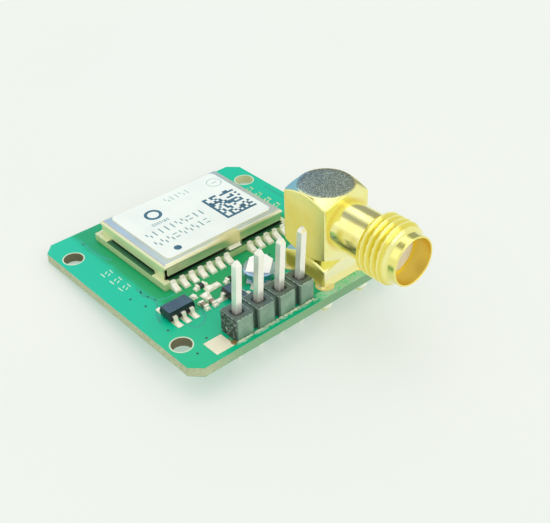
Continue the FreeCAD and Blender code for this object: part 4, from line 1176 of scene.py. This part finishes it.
@dataclass
class SmallParts:
    """Regulator, transistor, backup cell, chips and their solder."""

    pad_top: float = 1.05
    chip_end: float = 0.56

    def mound(self, place: Place, half_width: float, half_depth: float, height: float,
              turn_deg: float = 0.0, wobble: float = 0.0, seed: int = 0) -> Rings:
        """A low heap of solder: at the angle t its half sides shrink as cos(t)^0.7 and it rises as sin(t)."""
        t = np.linspace(0.0, math.pi / 2.0 - 0.08, 9)
        spread = np.cos(t) ** 0.7
        lift = self.pad_top - 0.01 + height * np.sin(t)
        levels = np.stack([half_width * spread, half_depth * spread, lift], axis=-1)
        return squircle_rings(levels, place, turn_deg, 3.2, wobble, seed)

    def heaps(self) -> list[Rings]:
        """Solder at the chips' ends, lumps on the bare pads, and low heaps at the leads."""
        at, rings = Board().at, []
        for from_left, from_front, turn in ((7.95, 9.45, 0.0), (10.75, 8.35, 0.0), (6.35, 6.85, 90.0),
                                            (7.25, 6.75, 90.0)):
            (x, y), step = at(from_left, from_front), math.radians(turn)
            for out in (-self.chip_end, self.chip_end):
                place = (x + out * math.cos(step), y + out * math.sin(step))
                rings.append(self.mound(place, 0.24, 0.27, 0.24, turn))
        lumps = ((8.45, 8.7, 0.46, 0.4), (9.25, 8.55, 0.38, 0.34), (7.45, 8.05, 0.46, 0.38),
                 (6.5, 8.65, 0.28, 0.36))
        rings += [self.mound(at(*lump[:2]), *lump[2:], 0.26, 10.0 * number, 0.22, number)
                  for number, lump in enumerate(lumps)]
        leads = [(3.0, 6.2), (3.95, 6.2), (4.9, 6.2), (3.0, 9.3), (4.9, 9.3)]
        rings += [self.mound(at(*lead), 0.26, 0.34, 0.12) for lead in leads]
        leads = [(7.85, 4.65), (7.85, 6.55), (10.65, 5.6)]
        return rings + [self.mound(at(*lead), 0.34, 0.26, 0.12) for lead in leads]

    def build(self) -> None:
        """Makes the solder and dresses the solids."""
        dress(Finish.EPOXY, "regulator_body", "transistor_body")
        dress(Finish.LEAD, "regulator_leads", "transistor_leads", "chip_ends")
        dress(Finish.CELL, "backup_cell")
        dress(Finish.TAB, "cell_top_tab", "cell_bottom_tab")
        dress(Finish.DARK_GLAZE, "resistor_bodies")
        dress(Finish.TAN_CERAMIC, "capacitor_bodies")
        heaps = self.heaps()
        piece = lofted("parts_solder", heaps, Finish.SOLDER, smooth_deg=70.0)
        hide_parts("component_joints")
        LOG.info("small parts: %d solder joints", len(heaps))


# Studio


def pose(side: Sequence[float], up: Sequence[float], back: Sequence[float], place: Colour) -> Matrix:
    """The matrix of an object with those three axes, at a place in millimetres."""
    turn = np.stack([side, up, back], axis=-1).tolist()
    return Matrix([[*row, spot * MM] for row, spot in zip(turn, place)] + [[0, 0, 0, 1]])


def sheet(name: str, corners: Sequence[Colour], material: bpy.types.Material) -> bpy.types.Object:
    """A flat object with four corners, in millimetres, and a material."""
    mesh = bpy.data.meshes.new(name)
    mesh.from_pydata([tuple(value * MM for value in corner) for corner in corners], [], [(0, 1, 2, 3)])
    mesh.materials.append(material)
    return placed(name, mesh)


@dataclass
class Studio:
    """Pale floor under the resting board, soft lamps, and the camera at the photograph's place."""

    paper: Colour = srgb(241, 245, 239)
    ambient: float = 0.92
    ambient_tone: Colour = (0.99, 1.0, 0.98)
    floor_glow: float = 0.415
    floor_mm: float = 4000.0
    rest_front: Place = (2.65, -1.9)
    rest_back: Place = (21.9, 0.0)
    reach: float = 300.0
    lean: Place = (0.3, 1.7)
    barrel: Colour = (17.8, -8.0, 7.2)
    centre: Colour = (11.0, 5.0, 2.0)
    lamp_mm: float = 300.0
    lens_mm: float = 63.276
    sensor_mm: float = 36.0
    position: Colour = (-36.058, -56.133, 57.227)
    right: Colour = (0.746386, -0.665145, -0.022143)
    up: Colour = (0.396411, 0.41761, 0.817594)
    shift: Place = (-0.016824, -0.016278)

    def camera(self) -> None:
        """Places the camera from its solved right and up directions."""
        data = bpy.data.cameras.new("camera")
        data.lens, data.sensor_width, data.sensor_fit = self.lens_mm, self.sensor_mm, "HORIZONTAL"
        data.shift_x, data.shift_y = self.shift
        data.clip_start, data.clip_end = 0.002, 10.0
        camera = placed("camera", data)
        camera.matrix_world = pose(self.right, self.up, np.cross(self.right, self.up), self.position)
        bpy.context.scene.camera = camera

    def floor(self) -> None:
        """A wide sheet of pale paper through the tips of the jack's back legs and the board's back edge."""
        slope = (self.rest_back[1] - self.rest_front[1]) / (self.rest_back[0] - self.rest_front[0])
        size = self.floor_mm
        corners = [(x, y, self.rest_front[1] + (y - self.rest_front[0]) * slope)
                   for x, y in ((-size, -size), (size, -size), (size, size), (-size, size))]
        graph = Surface("paper")
        tone = graph.mix(graph.noise(0.02).rise(0.3, 0.7), srgb(186, 188, 184), srgb(183, 186, 182))
        paper = graph.finish(Base_Color=tone, Roughness=0.9, Specular_IOR_Level=0.1,
                             Emission_Color=self.paper, Emission_Strength=self.floor_glow)
        floor = sheet("paper", corners, paper)

    def world(self) -> None:
        """Pale surroundings for the camera and for gloss, and a plain level of light for the rest."""
        world = bpy.data.worlds.new("studio")
        world.use_nodes = True
        bpy.context.scene.world = world
        graph = Graph(world.node_tree)
        ambient, shown = (graph.wire("ShaderNodeBackground", None, {"Color": tone, "Strength": strength})
                          for tone, strength in ((self.ambient_tone, self.ambient), (self.paper, 1.0)))
        paths = graph.node("ShaderNodeLightPath")
        seen = Wire(graph, paths.outputs["Is Camera Ray"]).most(Wire(graph, paths.outputs["Is Glossy Ray"]))
        mixed = graph.wire("ShaderNodeMixShader", None, {0: seen, 1: ambient, 2: shown})
        graph.node("ShaderNodeOutputWorld", None, {"Surface": mixed})

    def lamp(self, name: str, place: Colour, power: float) -> None:
        """A square area lamp at a place in millimetres that looks at the board, with a power in watts."""
        data = bpy.data.lights.new(name, "AREA")
        data.shape, data.size, data.energy = "SQUARE", self.lamp_mm * MM, power
        away = np.array(place) - np.array(self.centre)
        away /= np.linalg.norm(away)
        side = np.cross((0.0, 0.0, 1.0), away)
        side /= np.linalg.norm(side)
        placed(name, data).matrix_world = pose(side, np.cross(away, side), away, place)

    def barrel_band(self, first_deg: float, last_deg: float) -> list[Colour]:
        """Corners of a long card that the barrel reflects as a band along itself.

        The barrel lies along y, so what it mirrors to the camera lies in the directions
        (cos a, lean, sin a); the card spans the angles a from the first to the last.

        Args:
            first_deg: angle where the band starts.
            last_deg: angle where it ends.

        Returns:
            The four corners, in millimetres.
        """
        corners = []
        for angle, lean in ((first_deg, 0), (last_deg, 0), (last_deg, 1), (first_deg, 1)):
            turn = math.radians(angle)
            way = np.array([math.cos(turn), self.lean[lean], math.sin(turn)])
            spot = np.array(self.barrel) + way / np.linalg.norm(way[[0, 2]]) * self.reach
            corners.append(tuple(spot.tolist()))
        return corners

    def level_corners(self, low: Colour, high: Colour) -> list[Colour]:
        """Corners of a rectangle that is flat along one axis, from its lowest and its highest corner."""
        near, far = (tuple(high[axis] if axis == moved else low[axis] for axis in range(3))
                     for moved in range(3) if low[moved] != high[moved])
        return [low, near, high, far]

    def card(self, name: str, corners: Sequence[Colour], tone: Colour, strength: float = 1.0) -> None:
        """A glowing card that only gloss sees, as a reflector out of the picture.

        Args:
            name: the card's name.
            corners: its four corners, in millimetres.
            tone: its colour.
            strength: how brightly it glows.
        """
        glow = Surface(name).finish(Base_Color=(0.0, 0.0, 0.0), Roughness=1.0, Specular_IOR_Level=0.0,
                                    Emission_Color=tone, Emission_Strength=strength)
        card = sheet(name, corners, glow)
        card.visible_camera = card.visible_diffuse = card.visible_shadow = False

    def build(self) -> None:
        """Sets the whole studio."""
        bpy.context.scene.view_settings.view_transform = "Standard"
        self.camera()
        self.floor()
        self.world()
        self.lamp("top_lamp", (60.0, 40.0, 420.0), 0.22)
        self.lamp("front_lamp", (120.0, -380.0, 200.0), 0.25)
        for name, first_deg, last_deg, tone, strength in (
                ("dark_card", -2.0, 52.0, srgb(164, 168, 176), 1.0),
                ("bright_strip", 56.0, 82.0, srgb(255, 255, 255), 1.5),
                ("narrow_dark_strip", 93.0, 118.0, srgb(174, 174, 172), 1.0),
                ("second_bright_strip", 121.0, 165.0, srgb(255, 255, 255), 1.15)):
            self.card(name, self.barrel_band(first_deg, last_deg), tone, strength)
        leaning = [(63.6, 60.0, 7.9), (40.4, 60.0, -7.9), (-15.6, 60.0, 74.1), (7.6, 60.0, 89.9)]
        self.card("blue_card", leaning, srgb(110, 162, 255), 1.4)
        for name, low, high, tone in (
                ("shield_card", (24.0, 41.0, 38.0), (62.0, 68.0, 38.0), srgb(146, 192, 228)),
                ("warm_card", (13.25, -0.5, 1.1), (13.25, 12.0, 8.2), srgb(214, 212, 164)),
                ("side_card", (13.3, -3.8, 1.07), (14.8, 9.0, 1.07), srgb(192, 190, 128)),
                ("near_blue_card", (19.0, 11.2, 20.0), (32.0, 19.0, 20.0), srgb(96, 150, 235)),
                ("foot_shade_card", (14.6, -2.3, 1.05), (14.6, 3.0, 2.5), srgb(112, 120, 70)),
                ("foot_card", (14.9, -3.88, 1.03), (23.8, -2.95, 1.03), srgb(238, 236, 196))):
            self.card(name, self.level_corners(low, high), tone)
        LOG.info("studio set")


def main() -> None:
    """Builds every sub-assembly in order, then the studio."""
    logging.basicConfig(level=logging.INFO, format="%(name)s %(message)s")
    for assembly in (Board(), Receiver(), AerialJack(), PinHeader(), SmallParts(), Studio()):
        assembly.build()


if __name__ == "__main__":
    main()
